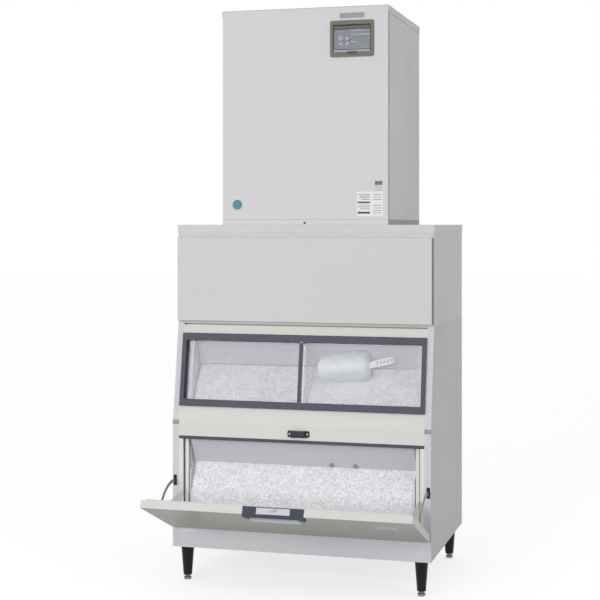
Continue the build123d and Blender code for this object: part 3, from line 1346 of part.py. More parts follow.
def refrigerant_lines():
    """The copper lines: compressor to condenser, condenser to barrel, and barrel back."""
    low = HEAD_FLOOR + GROMMET_HEIGHT
    can_top = low + COMPRESSOR_HEIGHT
    x, y = COMPRESSOR_X, COMPRESSOR_Y
    side_x = FAN_X - CONDENSER_WIDTH / 2 - 8
    coil_y = CONDENSER_REAR - CONDENSER_DEPTH / 2
    coil_low = TOP_Z + FAN_Z - CONDENSER_HEIGHT / 2 + CONDENSER_HEIGHT / CONDENSER_TUBES / 2
    coil_high = coil_low + CONDENSER_HEIGHT * (CONDENSER_TUBES - 1) / CONDENSER_TUBES
    out_x = side_x - 30
    hot = [(x, y, can_top + 0.3), (x, y, can_top + 60), (out_x, y, can_top + 60)]
    hot += [(out_x, coil_y, can_top + 60), (out_x, coil_y, coil_high), (side_x - 0.3, coil_y, coil_high)]
    right_x = FAN_X + CONDENSER_WIDTH / 2 + 8
    barrel_z = TOP_Z + EVAP_FOOT + 60
    cold = [(right_x + 0.3, coil_y, coil_low), (EVAP_X, coil_y, coil_low), (EVAP_X, coil_y, barrel_z)]
    cold += [(EVAP_X, EVAP_Y + EVAP_RADIUS + 0.3, barrel_z)]
    return group([pipe(LINE_RADIUS, hot, 18), pipe(LINE_RADIUS, cold, 18)])


def water_inlet():
    """The threaded inlet through the back panel, with its nut and valve."""
    stub = rod_y(INLET_RADIUS, INLET_X, (HEAD_REAR - 30, HEAD_REAR + INLET_REACH), INLET_Z)
    stub += rod_y(INLET_RADIUS + 7, INLET_X, (HEAD_REAR, HEAD_REAR + 4), INLET_Z)
    stub += block((INLET_X - 22, INLET_X + 22), (HEAD_REAR - 80, HEAD_REAR - 30), (INLET_Z - 20, INLET_Z + 30))
    return stub - rod_y(INLET_BORE, INLET_X, (HEAD_REAR - 25, HEAD_REAR + INLET_REACH + 1), INLET_Z)


def drain_pipes():
    """The head's drain through its back panel and the bin's drain through its floor."""
    head = rod_y(DRAIN_RADIUS, HEAD_DRAIN_X, (HEAD_REAR - 90, HEAD_REAR + DRAIN_REACH), HEAD_DRAIN_Z)
    collar = DRAIN_RADIUS + DRAIN_COLLAR
    head += rod_y(collar, HEAD_DRAIN_X, (HEAD_REAR, HEAD_REAR + DRAIN_COLLAR_THICK), HEAD_DRAIN_Z)
    head -= rod_y(DRAIN_BORE, HEAD_DRAIN_X, (HEAD_REAR - 84, HEAD_REAR + DRAIN_REACH + 1), HEAD_DRAIN_Z)
    tub_floor = BASE_Z + LINER_FLOOR
    bin_drain = rod_z(DRAIN_RADIUS, DRAIN_X, DRAIN_Y, (BASE_Z - DRAIN_REACH, tub_floor + LINER_WALL))
    bin_drain += rod_z(collar, DRAIN_X, DRAIN_Y, (BASE_Z - DRAIN_COLLAR_THICK, BASE_Z))
    bin_drain -= rod_z(DRAIN_BORE, DRAIN_X, DRAIN_Y, (BASE_Z - DRAIN_REACH - 1, tub_floor + LINER_WALL + 1))
    return group([head, bin_drain])


PIECES = {
    "head_base": head_base,
    "head_front_panel": head_front_panel,
    "head_side_panels": head_side_panels,
    "head_back_panel": head_back_panel,
    "head_top_cover": head_top_cover,
    "control_bezel": control_bezel,
    "control_cover": control_cover,
    "run_button": lambda: key(RUN_X),
    "stop_button": lambda: key(STOP_X),
    "control_box": control_box,
    "compressor": compressor,
    "condenser": condenser,
    "fan_motor": fan_motor,
    "fan_blade": fan_blade,
    "gear_motor": gear_motor,
    "evaporator": evaporator,
    "auger": auger,
    "ice_spout": ice_spout,
    "water_reservoir": water_reservoir,
    "refrigerant_lines": refrigerant_lines,
    "water_inlet": water_inlet,
    "drain_pipes": drain_pipes,
    "bin_top_plate": bin_top_plate,
    "upper_side_panels": upper_side_panels,
    "upper_front_frame": upper_front_frame,
    "upper_front_panel": upper_front_panel,
    "bin_side_panels": bin_side_panels,
    "bin_back_panels": bin_back_panels,
    "bin_floor": bin_floor,
    "apron_panel": apron_panel,
    "window_header": window_header,
    "middle_panel": middle_panel,
    "top_gasket": top_gasket,
    "opening_frame": opening_frame,
    "bin_liner": bin_liner,
    "foam_jacket": foam_jacket,
    "upper_baffle": upper_baffle,
    "lower_baffle": lower_baffle,
    "ice_heap": ice_heap,
    "scoop": scoop,
    "window_frame": window_frame,
    "left_pane": left_pane,
    "right_pane": right_pane,
    "pane_strip": pane_strip,
    "door_outer_skin": door_outer_skin,
    "door_liner": door_liner,
    "door_gasket": door_gasket,
    "door_stays": door_stays,
    "stay_bushes": stay_bushes,
    "door_hinge": door_hinge,
    "handle_housing": handle_housing,
    "handle_paddle": handle_paddle,
    "latch_plate": latch_plate,
    "latch_bolt": latch_bolt,
    "door_striker": door_striker,
    "bin_legs": bin_legs,
    "foot_front_left": lambda: foot("front_left"),
    "foot_front_right": lambda: foot("front_right"),
    "foot_rear_left": lambda: foot("rear_left"),
    "foot_rear_right": lambda: foot("rear_right"),
}

solids = {name: make() for name, make in PIECES.items()}

# The part's own frame: the origin is on the floor, under the middle of its whole footprint.
front_most = min(piece.bounding_box().min.Y for piece in solids.values())
rear_most = max(piece.bounding_box().max.Y for piece in solids.values())
FRAME_SHIFT = -(front_most + rear_most) / 2

os.makedirs("parts", exist_ok=True)
for name, piece in solids.items():
    export_step(Pos(0, FRAME_SHIFT, 0) * piece, f"parts/{name}.step")
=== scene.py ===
# %% [markdown]
# # An ice machine, dressed for its picture
# The solids of the machine are already made and arrive as a fixed frame: a tall steel bin with a
# sliding window and a tilt-down door, and a plain head above it that makes flaked ice. This
# notebook gives every solid its finish, adds the small things that steel work carries, and puts
# the machine in a pale studio. Read it from the top: each cell makes one thing.

import math

import bpy
import numpy as np
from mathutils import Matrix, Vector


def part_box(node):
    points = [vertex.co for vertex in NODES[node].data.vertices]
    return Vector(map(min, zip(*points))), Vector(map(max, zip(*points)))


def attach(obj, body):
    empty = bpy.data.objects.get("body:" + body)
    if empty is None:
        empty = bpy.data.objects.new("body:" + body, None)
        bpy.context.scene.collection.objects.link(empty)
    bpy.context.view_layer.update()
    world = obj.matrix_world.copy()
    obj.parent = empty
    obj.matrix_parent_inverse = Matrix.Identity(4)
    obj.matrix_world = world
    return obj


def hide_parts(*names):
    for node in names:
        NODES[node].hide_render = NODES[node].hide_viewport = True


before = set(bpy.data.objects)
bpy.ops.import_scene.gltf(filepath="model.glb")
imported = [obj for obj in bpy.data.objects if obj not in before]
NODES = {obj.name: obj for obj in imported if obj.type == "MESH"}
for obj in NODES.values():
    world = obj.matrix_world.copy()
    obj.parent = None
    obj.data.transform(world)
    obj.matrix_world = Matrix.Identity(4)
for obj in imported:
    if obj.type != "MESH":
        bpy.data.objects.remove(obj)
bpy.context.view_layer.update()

# %% [markdown]
# ## One way to say where things are
# A maker's drawing gives places in millimetres: to the right of the middle, behind the bin's
# front plane, and above the floor. Blender works in metres. The front plane is read from the
# sheet that lies in it, so a place taken from the drawing can't drift from the solids.

# %% Places in millimetres
MM = 0.001
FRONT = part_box("upper_front_frame")[0].y
BIN_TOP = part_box("bin_top_plate")[1].z / MM
HEAD_FACE = 15.0
STEP_FACE = -60.0
SEAM = BIN_TOP - 370.0
FOLD = SEAM - 365.0


def spot(x, y, z):
    """Millimetres to the right, to the back and up, as points in the frame's metres."""
    x, y, z = np.broadcast_arrays(np.asarray(x, float), np.asarray(y, float), np.asarray(z, float))
    return np.stack([x * MM, y * MM + FRONT, z * MM], axis=-1)


print("front plane at", round(FRONT, 5), "bin top", BIN_TOP)

# %% [markdown]
# ## The camera
# The photographer stood a little to the right of the machine, with the lens level with the top
# of the bin and pointing level, so that the upright edges stay upright. The view was then
# shifted down, as a view camera does, to take in the feet. A long lens keeps the sides calm.

# %% Camera
lens = bpy.data.cameras.new("camera")
lens.lens = 83.55
lens.sensor_width = 36.0
lens.shift_x = 0.0027
lens.shift_y = -0.1255
lens.clip_end = 200.0
camera = bpy.data.objects.new("camera", lens)
camera.location = (1.3725, -4.9393 + FRONT, 1.330)
camera.rotation_euler = (math.radians(90), 0, math.radians(15.72))
bpy.context.scene.collection.objects.link(camera)
bpy.context.scene.camera = camera
bpy.context.scene.view_settings.view_transform = "Standard"
print("camera at", tuple(round(v, 3) for v in camera.location))

# %% [markdown]
# ## Helpers for node trees
# A finish is a small network of nodes. Written by hand each node takes several lines, so one
# helper adds a node and feeds its sockets, and another turns a colour as seen on a screen into
# the linear numbers that a shader works with.

# %% Node helpers


def paint(red, green, blue):
    """A screen colour, 0 to 255, as linear light: ((c + 0.055) / 1.055) to the power 2.4."""
    c = np.array([red, green, blue]) / 255.0
    linear = np.where(c <= 0.04045, c / 12.92, ((c + 0.055) / 1.055) ** 2.4)
    return (*[float(v) for v in linear], 1.0)


def add(tree, kind, feeds=None, **settings):
    """Adds a node. Each feed is a number, a colour, or another node's output to link."""
    made = tree.nodes.new(kind)
    for name, value in settings.items():
        setattr(made, name, value)
    for key, value in (feeds or {}).items():
        if isinstance(value, bpy.types.NodeSocket):
            tree.links.new(value, made.inputs[key])
        else:
            made.inputs[key].default_value = value
    return made


def blend_colours(tree, share, first, second, how="MIX"):
    """The colour between two, where share 0 is the first and 1 the second."""
    feeds = {0: share, 6: first, 7: second}
    return add(tree, "ShaderNodeMix", feeds, data_type="RGBA", blend_type=how).outputs[2]


def sums(tree, how, a, b=0.0, c=0.0):
    """One step of arithmetic on values."""
    return add(tree, "ShaderNodeMath", {0: a, 1: b, 2: c}, operation=how).outputs[0]


def between(tree, value, low, high):
    """1 where a value lies between two limits, and 0 elsewhere."""
    over = sums(tree, "GREATER_THAN", value, low)
    under = sums(tree, "LESS_THAN", value, high)
    return sums(tree, "MULTIPLY", over, under)


def new_group(name, inputs, outputs):
    """A shared effect with named sockets: inputs are (name, kind, start), outputs (name, kind)."""
    tree = bpy.data.node_groups.new(name, "ShaderNodeTree")
    for label, kind, start in inputs:
        socket = tree.interface.new_socket(label, in_out="INPUT", socket_type=kind)
        socket.default_value = start
    for label, kind in outputs:
        tree.interface.new_socket(label, in_out="OUTPUT", socket_type=kind)
    return tree, tree.nodes.new("NodeGroupInput").outputs, tree.nodes.new("NodeGroupOutput").inputs


NUMBER = "NodeSocketFloat"
COLOUR = "NodeSocketColor"

# %% [markdown]
# ## Effects that several finishes share
# Baked paint has a fine skin like orange peel. Big sheets never have quite one tone: they show
# broad soft clouds from wiping and from the rolling of the steel. Moulded plastic has a close
# stipple, brushed metal has long scratches, and ice has grains. Each is a group, so a finish
# only says how much of it there is. They all read Object coordinates, which are metres here.

# %% Group: paint skin
tree, given, made = new_group(
    "paint_skin",
    [("Scale", NUMBER, 700.0), ("Colour", COLOUR, (0.8, 0.8, 0.8, 1)), ("Clouding", NUMBER, 0.04)],
    [("Colour", COLOUR), ("Height", NUMBER), ("Roughness Shift", NUMBER)],
)
here = add(tree, "ShaderNodeTexCoord").outputs["Object"]
peel = add(tree, "ShaderNodeTexNoise", {"Vector": here, "Scale": given["Scale"], "Detail": 2.0})
cloud = add(tree, "ShaderNodeTexNoise", {"Vector": here, "Scale": 2.6, "Detail": 3.0, "Roughness": 0.55})
wipe = add(tree, "ShaderNodeTexNoise", {"Vector": here, "Scale": 21.0, "Detail": 4.0, "Roughness": 0.6})
tone = sums(tree, "MULTIPLY_ADD", cloud.outputs["Fac"], 0.7, sums(tree, "MULTIPLY", wipe.outputs["Fac"], 0.3))
darker = blend_colours(tree, 1.0, given["Colour"], (0.80, 0.80, 0.81, 1), "MULTIPLY")
share = sums(tree, "MULTIPLY", tone, sums(tree, "MULTIPLY", given["Clouding"], 8.0))
tree.links.new(blend_colours(tree, share, given["Colour"], darker), made["Colour"])
tree.links.new(peel.outputs["Fac"], made["Height"])
shift = sums(tree, "MULTIPLY", sums(tree, "SUBTRACT", tone, 0.5), 0.25)
tree.links.new(shift, made["Roughness Shift"])

# %% Group: moulded stipple
tree, given, made = new_group(
    "moulded_stipple",
    [("Scale", NUMBER, 1400.0), ("Colour", COLOUR, (0.5, 0.5, 0.5, 1)), ("Mottle", NUMBER, 0.06)],
    [("Colour", COLOUR), ("Height", NUMBER), ("Roughness Shift", NUMBER)],
)
here = add(tree, "ShaderNodeTexCoord").outputs["Object"]
pits = add(tree, "ShaderNodeTexVoronoi", {"Vector": here, "Scale": given["Scale"]})
flow = add(tree, "ShaderNodeTexNoise", {"Vector": here, "Scale": 34.0, "Detail": 3.0})
lighter = blend_colours(tree, 1.0, given["Colour"], (0.55, 0.55, 0.57, 1), "SCREEN")
share = sums(tree, "MULTIPLY", flow.outputs["Fac"], given["Mottle"])
tree.links.new(blend_colours(tree, share, given["Colour"], lighter), made["Colour"])
tree.links.new(pits.outputs["Distance"], made["Height"])
tree.links.new(sums(tree, "MULTIPLY", sums(tree, "SUBTRACT", flow.outputs["Fac"], 0.5), 0.2), made["Roughness Shift"])

# %% Group: brushed lines
tree, given, made = new_group(
    "brushed_lines",
    [("Across", NUMBER, 900.0), ("Along", NUMBER, 9.0), ("Colour", COLOUR, (0.6, 0.6, 0.6, 1))],
    [("Colour", COLOUR), ("Height", NUMBER), ("Roughness Shift", NUMBER)],
)
here = add(tree, "ShaderNodeTexCoord").outputs["Object"]
squeeze = add(tree, "ShaderNodeCombineXYZ", {"X": given["Along"], "Y": given["Across"], "Z": given["Across"]})
stretched = add(tree, "ShaderNodeVectorMath", {0: here, 1: squeeze.outputs[0]}, operation="MULTIPLY")
lines = add(tree, "ShaderNodeTexNoise", {"Vector": stretched.outputs[0], "Scale": 1.0, "Detail": 3.0})
dull = blend_colours(tree, 1.0, given["Colour"], (0.78, 0.78, 0.79, 1), "MULTIPLY")
tree.links.new(blend_colours(tree, lines.outputs["Fac"], dull, given["Colour"]), made["Colour"])
tree.links.new(lines.outputs["Fac"], made["Height"])
tree.links.new(sums(tree, "MULTIPLY", sums(tree, "SUBTRACT", lines.outputs["Fac"], 0.5), 0.3), made["Roughness Shift"])
print("shared effects:", [g.name for g in bpy.data.node_groups])

# %% [markdown]
# ## One recipe for an ordinary finish
# Nearly every surface here is one of these effects in front of the same shader, with its own
# colour, roughness and depth of grain. A second colour may cover part of a solid, such as the
# folded edge of a panel. Its place is a mask worked out from Object coordinates.

# %% Finish recipe


def finish(name, colour, effect, rough, grain=0.1, amounts=None, parts=(), metal=0.0, coat=0.0, gloss=0.4):
    """A finish: a shared effect in front of one shader. parts is a list of (mask, colour), and a
    mask is a function of the tree and of x, y and z in millimetres that gives 0 or 1. gloss is
    how much the surface mirrors when it is looked at squarely."""
    material = bpy.data.materials.new(name)
    material.use_nodes = True
    tree = material.node_tree
    shader = tree.nodes["Principled BSDF"]
    base = colour
    if parts:
        here = add(tree, "ShaderNodeTexCoord").outputs["Object"]
        split = add(tree, "ShaderNodeSeparateXYZ", {0: here}).outputs
        x = sums(tree, "MULTIPLY", split[0], 1 / MM)
        y = sums(tree, "MULTIPLY", sums(tree, "SUBTRACT", split[1], FRONT), 1 / MM)
        z = sums(tree, "MULTIPLY", split[2], 1 / MM)
        for mask, other in parts:
            base = blend_colours(tree, mask(tree, x, y, z), base, other)
    group = add(tree, "ShaderNodeGroup", node_tree=bpy.data.node_groups[effect])
    feeds = {"Colour": base, **(amounts or {})}
    for key, value in feeds.items():
        if isinstance(value, bpy.types.NodeSocket):
            tree.links.new(value, group.inputs[key])
        else:
            group.inputs[key].default_value = value
    tree.links.new(group.outputs["Colour"], shader.inputs["Base Color"])
    roughness = sums(tree, "ADD", group.outputs["Roughness Shift"], rough)
    tree.links.new(roughness, shader.inputs["Roughness"])
    bump = add(tree, "ShaderNodeBump", {"Height": group.outputs["Height"], "Strength": grain, "Distance": 0.0004})
    tree.links.new(bump.outputs["Normal"], shader.inputs["Normal"])
    shader.inputs["Metallic"].default_value = metal
    shader.inputs["Coat Weight"].default_value = coat
    shader.inputs["Specular IOR Level"].default_value = gloss
    return material


# %% [markdown]
# ## The painted sheets
# The head and the big panel are pale grey baked paint, the strips round the window are a warmer
# cream, and the sides are cooler. Satin paint sits near a roughness of 0.4. The big panel's
# returns are a darker olive grey, and a mask finds them by how far they are from the middle. The
# door's outer face and the bin's lower sides are made darker by masks too: painted shade.

# %% Painted finishes


def beyond(limit):
    """A mask for what lies further from the middle than a limit, on either side."""
    return lambda tree, x, y, z: sums(tree, "GREATER_THAN", sums(tree, "ABSOLUTE", x), limit)


def within(limit):
    """A mask for what lies nearer the middle than a limit."""
    return lambda tree, x, y, z: sums(tree, "LESS_THAN", sums(tree, "ABSOLUTE", x), limit)


def door_face_painted_shade(tree, x, y, z):
    """The face that the door turns to the room. Open, it lies on a slope: a place is on it where
    its height along the slope's normal, 0.386 forwards and 0.9225 down, is at least 160 mm."""
    forwards = sums(tree, "MULTIPLY", y, -0.386)
    return sums(tree, "GREATER_THAN", sums(tree, "MULTIPLY_ADD", z, -0.9225, forwards), -160.6)


HEAD_PAINT = finish("head_paint", paint(215, 215, 217), "paint_skin", 0.42, 0.08,
                    parts=[(beyond(316.6), paint(150, 149, 140))])
LID_PAINT = finish("lid_paint", paint(212, 211, 208), "paint_skin", 0.42, 0.08)
PANEL_PAINT = finish("panel_paint", paint(211, 212, 211), "paint_skin", 0.42, 0.08,
                     parts=[(beyond(483.4), paint(128, 126, 112))])
CREAM_PAINT = finish("cream_paint", paint(219, 221, 215), "paint_skin", 0.4, 0.08)
SIDE_PAINT = finish("side_paint", paint(208, 208, 213), "paint_skin", 0.42, 0.1)
# Beyond 488 mm from the middle, on the bin's lower sides, the colour is darker: painted shade, so the lower side looks
# darker than the upper side above it.
PILLAR_PAINT = finish("pillar_paint", paint(211, 212, 218), "paint_skin", 0.42, 0.1,
                      parts=[(beyond(488.0), paint(196, 194, 199))])
APRON_PAINT = finish("apron_paint", paint(216, 217, 221), "paint_skin", 0.42, 0.08)
# The door's outer face gets a darker, greener colour: painted shade, for a face that looks down and lies in shadow.
DOOR_PAINT = finish("door_paint", paint(213, 216, 211), "paint_skin", 0.38, 0.08,
                    parts=[(door_face_painted_shade, paint(198, 200, 190))])
REAR_PAINT = finish("rear_paint", paint(196, 196, 199), "paint_skin", 0.5, 0.14)
BLACK_PAINT = finish("black_paint", paint(26, 26, 26), "paint_skin", 0.34, 0.12, gloss=0.2)
print("painted finishes:", len(bpy.data.materials))

# %% [markdown]
# ## Plastics
# The window frame, the strip under the middle panel and the handle are a dark blue grey. The
# mouth's surround and the door's inner half are white, with a beige guide beside the tub. The
# control surround is olive, with a grey blue key panel let into it: one solid, so again a mask
# gives the panel its own colour.

# %% Plastic finishes


def key_panel(tree, x, y, z):
    """The sunken face inside the control surround."""
    sunken = sums(tree, "GREATER_THAN", y, 24.0)
    across = between(tree, x, 110.0, 254.0)
    return sums(tree, "MULTIPLY", sums(tree, "MULTIPLY", sunken, across), between(tree, z, BIN_TOP + 622.0, BIN_TOP + 740.0))


FRAME_PLASTIC = finish("frame_plastic", paint(84, 84, 98), "moulded_stipple", 0.36, 0.1, gloss=0.15)
SEAL_PLASTIC = finish("seal_plastic", paint(78, 78, 92), "moulded_stipple", 0.5, 0.1, gloss=0.15)
HANDLE_PLASTIC = finish("handle_plastic", paint(62, 65, 80), "moulded_stipple", 0.4, 0.12, gloss=0.15)
PADDLE_PLASTIC = finish("paddle_plastic", paint(208, 214, 224), "moulded_stipple", 0.36, 0.08)
STRIKER_PLASTIC = finish("striker_plastic", paint(54, 56, 60), "moulded_stipple", 0.38, 0.14, gloss=0.15)
BLACK_PLASTIC = finish("black_plastic", paint(30, 30, 32), "moulded_stipple", 0.45, 0.15, gloss=0.15)
WHITE_PLASTIC = finish("white_plastic", paint(228, 230, 230), "moulded_stipple", 0.3, 0.05)
SURROUND_PLASTIC = finish("surround_plastic", paint(225, 226, 222), "moulded_stipple", 0.35, 0.06,
                          parts=[(within(430.3), paint(190, 187, 176))])
TUB_PLASTIC = finish("tub_plastic", paint(214, 214, 220), "moulded_stipple", 0.42, 0.08)
BAFFLE_PLASTIC = finish("baffle_plastic", paint(206, 204, 211), "paint_skin", 0.34, 0.05)
GREY_PLASTIC = finish("grey_plastic", paint(150, 152, 158), "moulded_stipple", 0.45, 0.12)
OLIVE_PLASTIC = finish("olive_plastic", paint(112, 110, 95), "moulded_stipple", 0.4, 0.1,
                       parts=[(key_panel, paint(112, 115, 125))])
SEAL_WHITE = finish("seal_white", paint(205, 208, 208), "moulded_stipple", 0.6, 0.2)
FOAM = finish("foam", paint(226, 214, 172), "moulded_stipple", 0.9, 0.9, {"Scale": 260.0})
SCOOP_PLASTIC = finish("scoop_plastic", paint(232, 236, 240), "moulded_stipple", 0.26, 0.03)
SCOOP_PLASTIC.node_tree.nodes["Principled BSDF"].inputs["Subsurface Weight"].default_value = 0.15
SCOOP_PLASTIC.node_tree.nodes["Principled BSDF"].inputs["Subsurface Scale"].default_value = 0.004
TEAL_ENAMEL = finish("teal_enamel", paint(52, 138, 146), "moulded_stipple", 0.22, 0.02, coat=0.4)
LABEL_WHITE = finish("label_white", paint(236, 236, 236), "paint_skin", 0.5, 0.03)
LABEL_PALE = finish("label_pale", paint(203, 203, 204), "paint_skin", 0.5, 0.03)
LABEL_INK = finish("label_ink", paint(72, 74, 78), "paint_skin", 0.5, 0.02)
LABEL_GREY = finish("label_grey", paint(118, 118, 120), "paint_skin", 0.45, 0.03)
PANEL_INK = finish("panel_ink", paint(196, 200, 210), "paint_skin", 0.4, 0.02)

# %% [markdown]
# ## Metals
# The stays and the hinge are brushed steel, the bolt is chromed, and inside the head the
# works are copper, cast iron and aluminium. Lines from brushing are one stretched noise. The
# bolt and the pins are small, so a low roughness is enough to make them read as bright.

# %% Metal finishes
STAY_STEEL = finish("stay_steel", paint(150, 146, 136), "brushed_lines", 0.42, 0.2, metal=0.75)
BRUSHED_STEEL = finish("brushed_steel", paint(196, 196, 199), "brushed_lines", 0.32, 0.2, metal=0.9)
CHROME = finish("chrome", paint(226, 227, 230), "brushed_lines", 0.1, 0.03, metal=1.0)
PLATE_ALLOY = finish("plate_alloy", paint(214, 215, 218), "brushed_lines", 0.4, 0.15, gloss=0.3)
NAME_ALLOY = finish("name_alloy", paint(166, 167, 169), "brushed_lines", 0.4, 0.15, gloss=0.3)
ALLOY = finish("alloy", paint(205, 206, 208), "brushed_lines", 0.35, 0.25, metal=0.9)
COPPER = finish("copper", paint(205, 132, 96), "brushed_lines", 0.3, 0.15, metal=1.0)
CAST_IRON = finish("cast_iron", paint(52, 53, 56), "moulded_stipple", 0.6, 0.8, {"Scale": 420.0})
FOOT_METAL = finish("foot_metal", paint(150, 146, 140), "brushed_lines", 0.35, 0.2, metal=0.85)
DARK_STEEL = finish("dark_steel", paint(70, 70, 72), "brushed_lines", 0.4, 0.2, metal=0.5)

# %% [markdown]
# ## Clear plastic
# The panes and the control flap are see-through. Light from a lamp can't find its way through
# glass in a path tracer without a great many samples, so for the rays that ask whether a lamp
# is hidden, the pane becomes a plain transparent sheet that only takes off a little light. Rays
# that a dull surface sends on meet the same sheet, or the light inside would be counted twice.

# %% See-through finishes


def clear_sheet(name, tint, rough, lets_through):
    """Clear plastic that lets lamps through, dimmed to lets_through."""
    material = bpy.data.materials.new(name)
    material.use_nodes = True
    tree = material.node_tree
    shader = tree.nodes["Principled BSDF"]
    here = add(tree, "ShaderNodeTexCoord").outputs["Object"]
    haze = add(tree, "ShaderNodeTexNoise", {"Vector": here, "Scale": 7.0, "Detail": 4.0})
    smear = sums(tree, "MULTIPLY_ADD", haze.outputs["Fac"], 0.008, rough)
    tree.links.new(smear, shader.inputs["Roughness"])
    cast = blend_colours(tree, haze.outputs["Fac"], tint, (tint[0] * 0.97, tint[1] * 0.97, tint[2] * 0.98, 1))
    tree.links.new(cast, shader.inputs["Base Color"])
    shader.inputs["Transmission Weight"].default_value = 1.0
    shader.inputs["IOR"].default_value = 1.46
    through = add(tree, "ShaderNodeBsdfTransparent", {"Color": lets_through})
    path = add(tree, "ShaderNodeLightPath").outputs
    light_ray = sums(tree, "MAXIMUM", path["Is Shadow Ray"], path["Is Diffuse Ray"])
    mixed = add(tree, "ShaderNodeMixShader", {0: light_ray, 1: shader.outputs[0], 2: through.outputs[0]})
    tree.links.new(mixed.outputs[0], tree.nodes["Material Output"].inputs["Surface"])
    return material


CLEAR_PANE = clear_sheet("clear_pane", (0.92, 0.92, 0.935, 1), 0.0, (0.78, 0.78, 0.8, 1))
SMOKED_FLAP = clear_sheet("smoked_flap", (0.72, 0.74, 0.77, 1), 0.0, (0.62, 0.63, 0.66, 1))

# %% [markdown]
# ## Ice
# Flaked ice is white, but light gets lost between the grains, so it looks a cool grey with
# bright specks. Two sizes of cells give each grain its own tone, and the same cells push the
# surface in and out. The glint comes from a fairly smooth, slightly see-through skin.

# %% Ice finish
ICE = bpy.data.materials.new("flaked_ice")
ICE.use_nodes = True
tree = ICE.node_tree
shader = tree.nodes["Principled BSDF"]
here = add(tree, "ShaderNodeTexCoord").outputs["Object"]
grains = add(tree, "ShaderNodeTexVoronoi", {"Vector": here, "Scale": 190.0, "Randomness": 1.0})
lumps = add(tree, "ShaderNodeTexVoronoi", {"Vector": here, "Scale": 85.0})
drift = add(tree, "ShaderNodeTexNoise", {"Vector": here, "Scale": 42.0, "Detail": 6.0, "Roughness": 0.75})
grey = add(tree, "ShaderNodeSeparateColor", {0: grains.outputs["Color"]}).outputs[0]
lump_grey = add(tree, "ShaderNodeSeparateColor", {0: lumps.outputs["Color"]}).outputs[1]
tone = sums(tree, "MULTIPLY_ADD", grey, 0.75, sums(tree, "MULTIPLY", lump_grey, 0.12))
tone = sums(tree, "MULTIPLY_ADD", drift.outputs["Fac"], 0.2, tone)
tree.links.new(blend_colours(tree, tone, paint(198, 201, 206), paint(252, 252, 253)), shader.inputs["Base Color"])
height = sums(tree, "MULTIPLY_ADD", grey, 0.6, sums(tree, "MULTIPLY", lumps.outputs["Distance"], -0.8))
bump = add(tree, "ShaderNodeBump", {"Height": height, "Strength": 0.55, "Distance": 0.004})
tree.links.new(bump.outputs["Normal"], shader.inputs["Normal"])
shine = sums(tree, "MULTIPLY_ADD", grey, 0.25, 0.28)
tree.links.new(shine, shader.inputs["Roughness"])
print("finishes:", len(bpy.data.materials))

# %% [markdown]
# ## Each solid gets its finish
# One table says which solids have which finish. A solid keeps its own mesh: only the material
# in its slots is changed.

# %% Hand out the finishes
FINISHES = {
    HEAD_PAINT: ["head_front_panel", "head_base"],
    LID_PAINT: ["head_top_cover", "bin_top_plate"],
    SIDE_PAINT: ["head_side_panels", "upper_side_panels", "upper_front_frame"],
    REAR_PAINT: ["head_back_panel", "bin_back_panels", "bin_floor", "control_box"],
    PANEL_PAINT: ["upper_front_panel"],
    PILLAR_PAINT: ["bin_side_panels"],
    APRON_PAINT: ["apron_panel"],
    CREAM_PAINT: ["window_header", "middle_panel"],
    DOOR_PAINT: ["door_outer_skin"],
    BLACK_PAINT: ["bin_legs", "compressor"],
    FRAME_PLASTIC: ["window_frame", "pane_strip"],
    SEAL_PLASTIC: ["top_gasket"],
    HANDLE_PLASTIC: ["handle_housing"],
    PADDLE_PLASTIC: ["handle_paddle"],
    STRIKER_PLASTIC: ["door_striker"],
    BLACK_PLASTIC: ["stay_bushes", "fan_motor", "fan_blade"],
    WHITE_PLASTIC: ["door_liner", "ice_spout", "water_reservoir"],
    SURROUND_PLASTIC: ["opening_frame"],
    TUB_PLASTIC: ["bin_liner"],
    BAFFLE_PLASTIC: ["upper_baffle", "lower_baffle"],
    GREY_PLASTIC: ["drain_pipes", "evaporator", "run_button", "stop_button"],
    OLIVE_PLASTIC: ["control_bezel"],
    SEAL_WHITE: ["door_gasket"],
    FOAM: ["foam_jacket"],
    SCOOP_PLASTIC: ["scoop"],
    STAY_STEEL: ["door_stays"],
    BRUSHED_STEEL: ["door_hinge", "auger", "water_inlet"],
    CHROME: ["latch_bolt"],
    PLATE_ALLOY: ["latch_plate"],
    ALLOY: ["condenser"],
    COPPER: ["refrigerant_lines"],
    CAST_IRON: ["gear_motor"],
    FOOT_METAL: ["foot_front_left", "foot_front_right", "foot_rear_left", "foot_rear_right"],
    CLEAR_PANE: ["left_pane", "right_pane"],
    SMOKED_FLAP: ["control_cover"],
    ICE: ["ice_heap"],
}
for material, names in FINISHES.items():
    for name in names:
        for place in NODES[name].material_slots:
            place.material = material
bare = sorted(set(NODES) - {name for names in FINISHES.values() for name in names})
print("solids with no finish:", bare)

# %% [markdown]
# ## Surfaces worked out with numpy
# New pieces are surfaces: a grid of two parameters whose corners are worked out all at once.
# This helper puts such a grid into a mesh. A grid that closes on itself joins its last column to
# its first, and a pole is one point that a whole row of the grid meets, so that a plate or a
# turned knob has no hole in it.

# %% Put a surface into a mesh


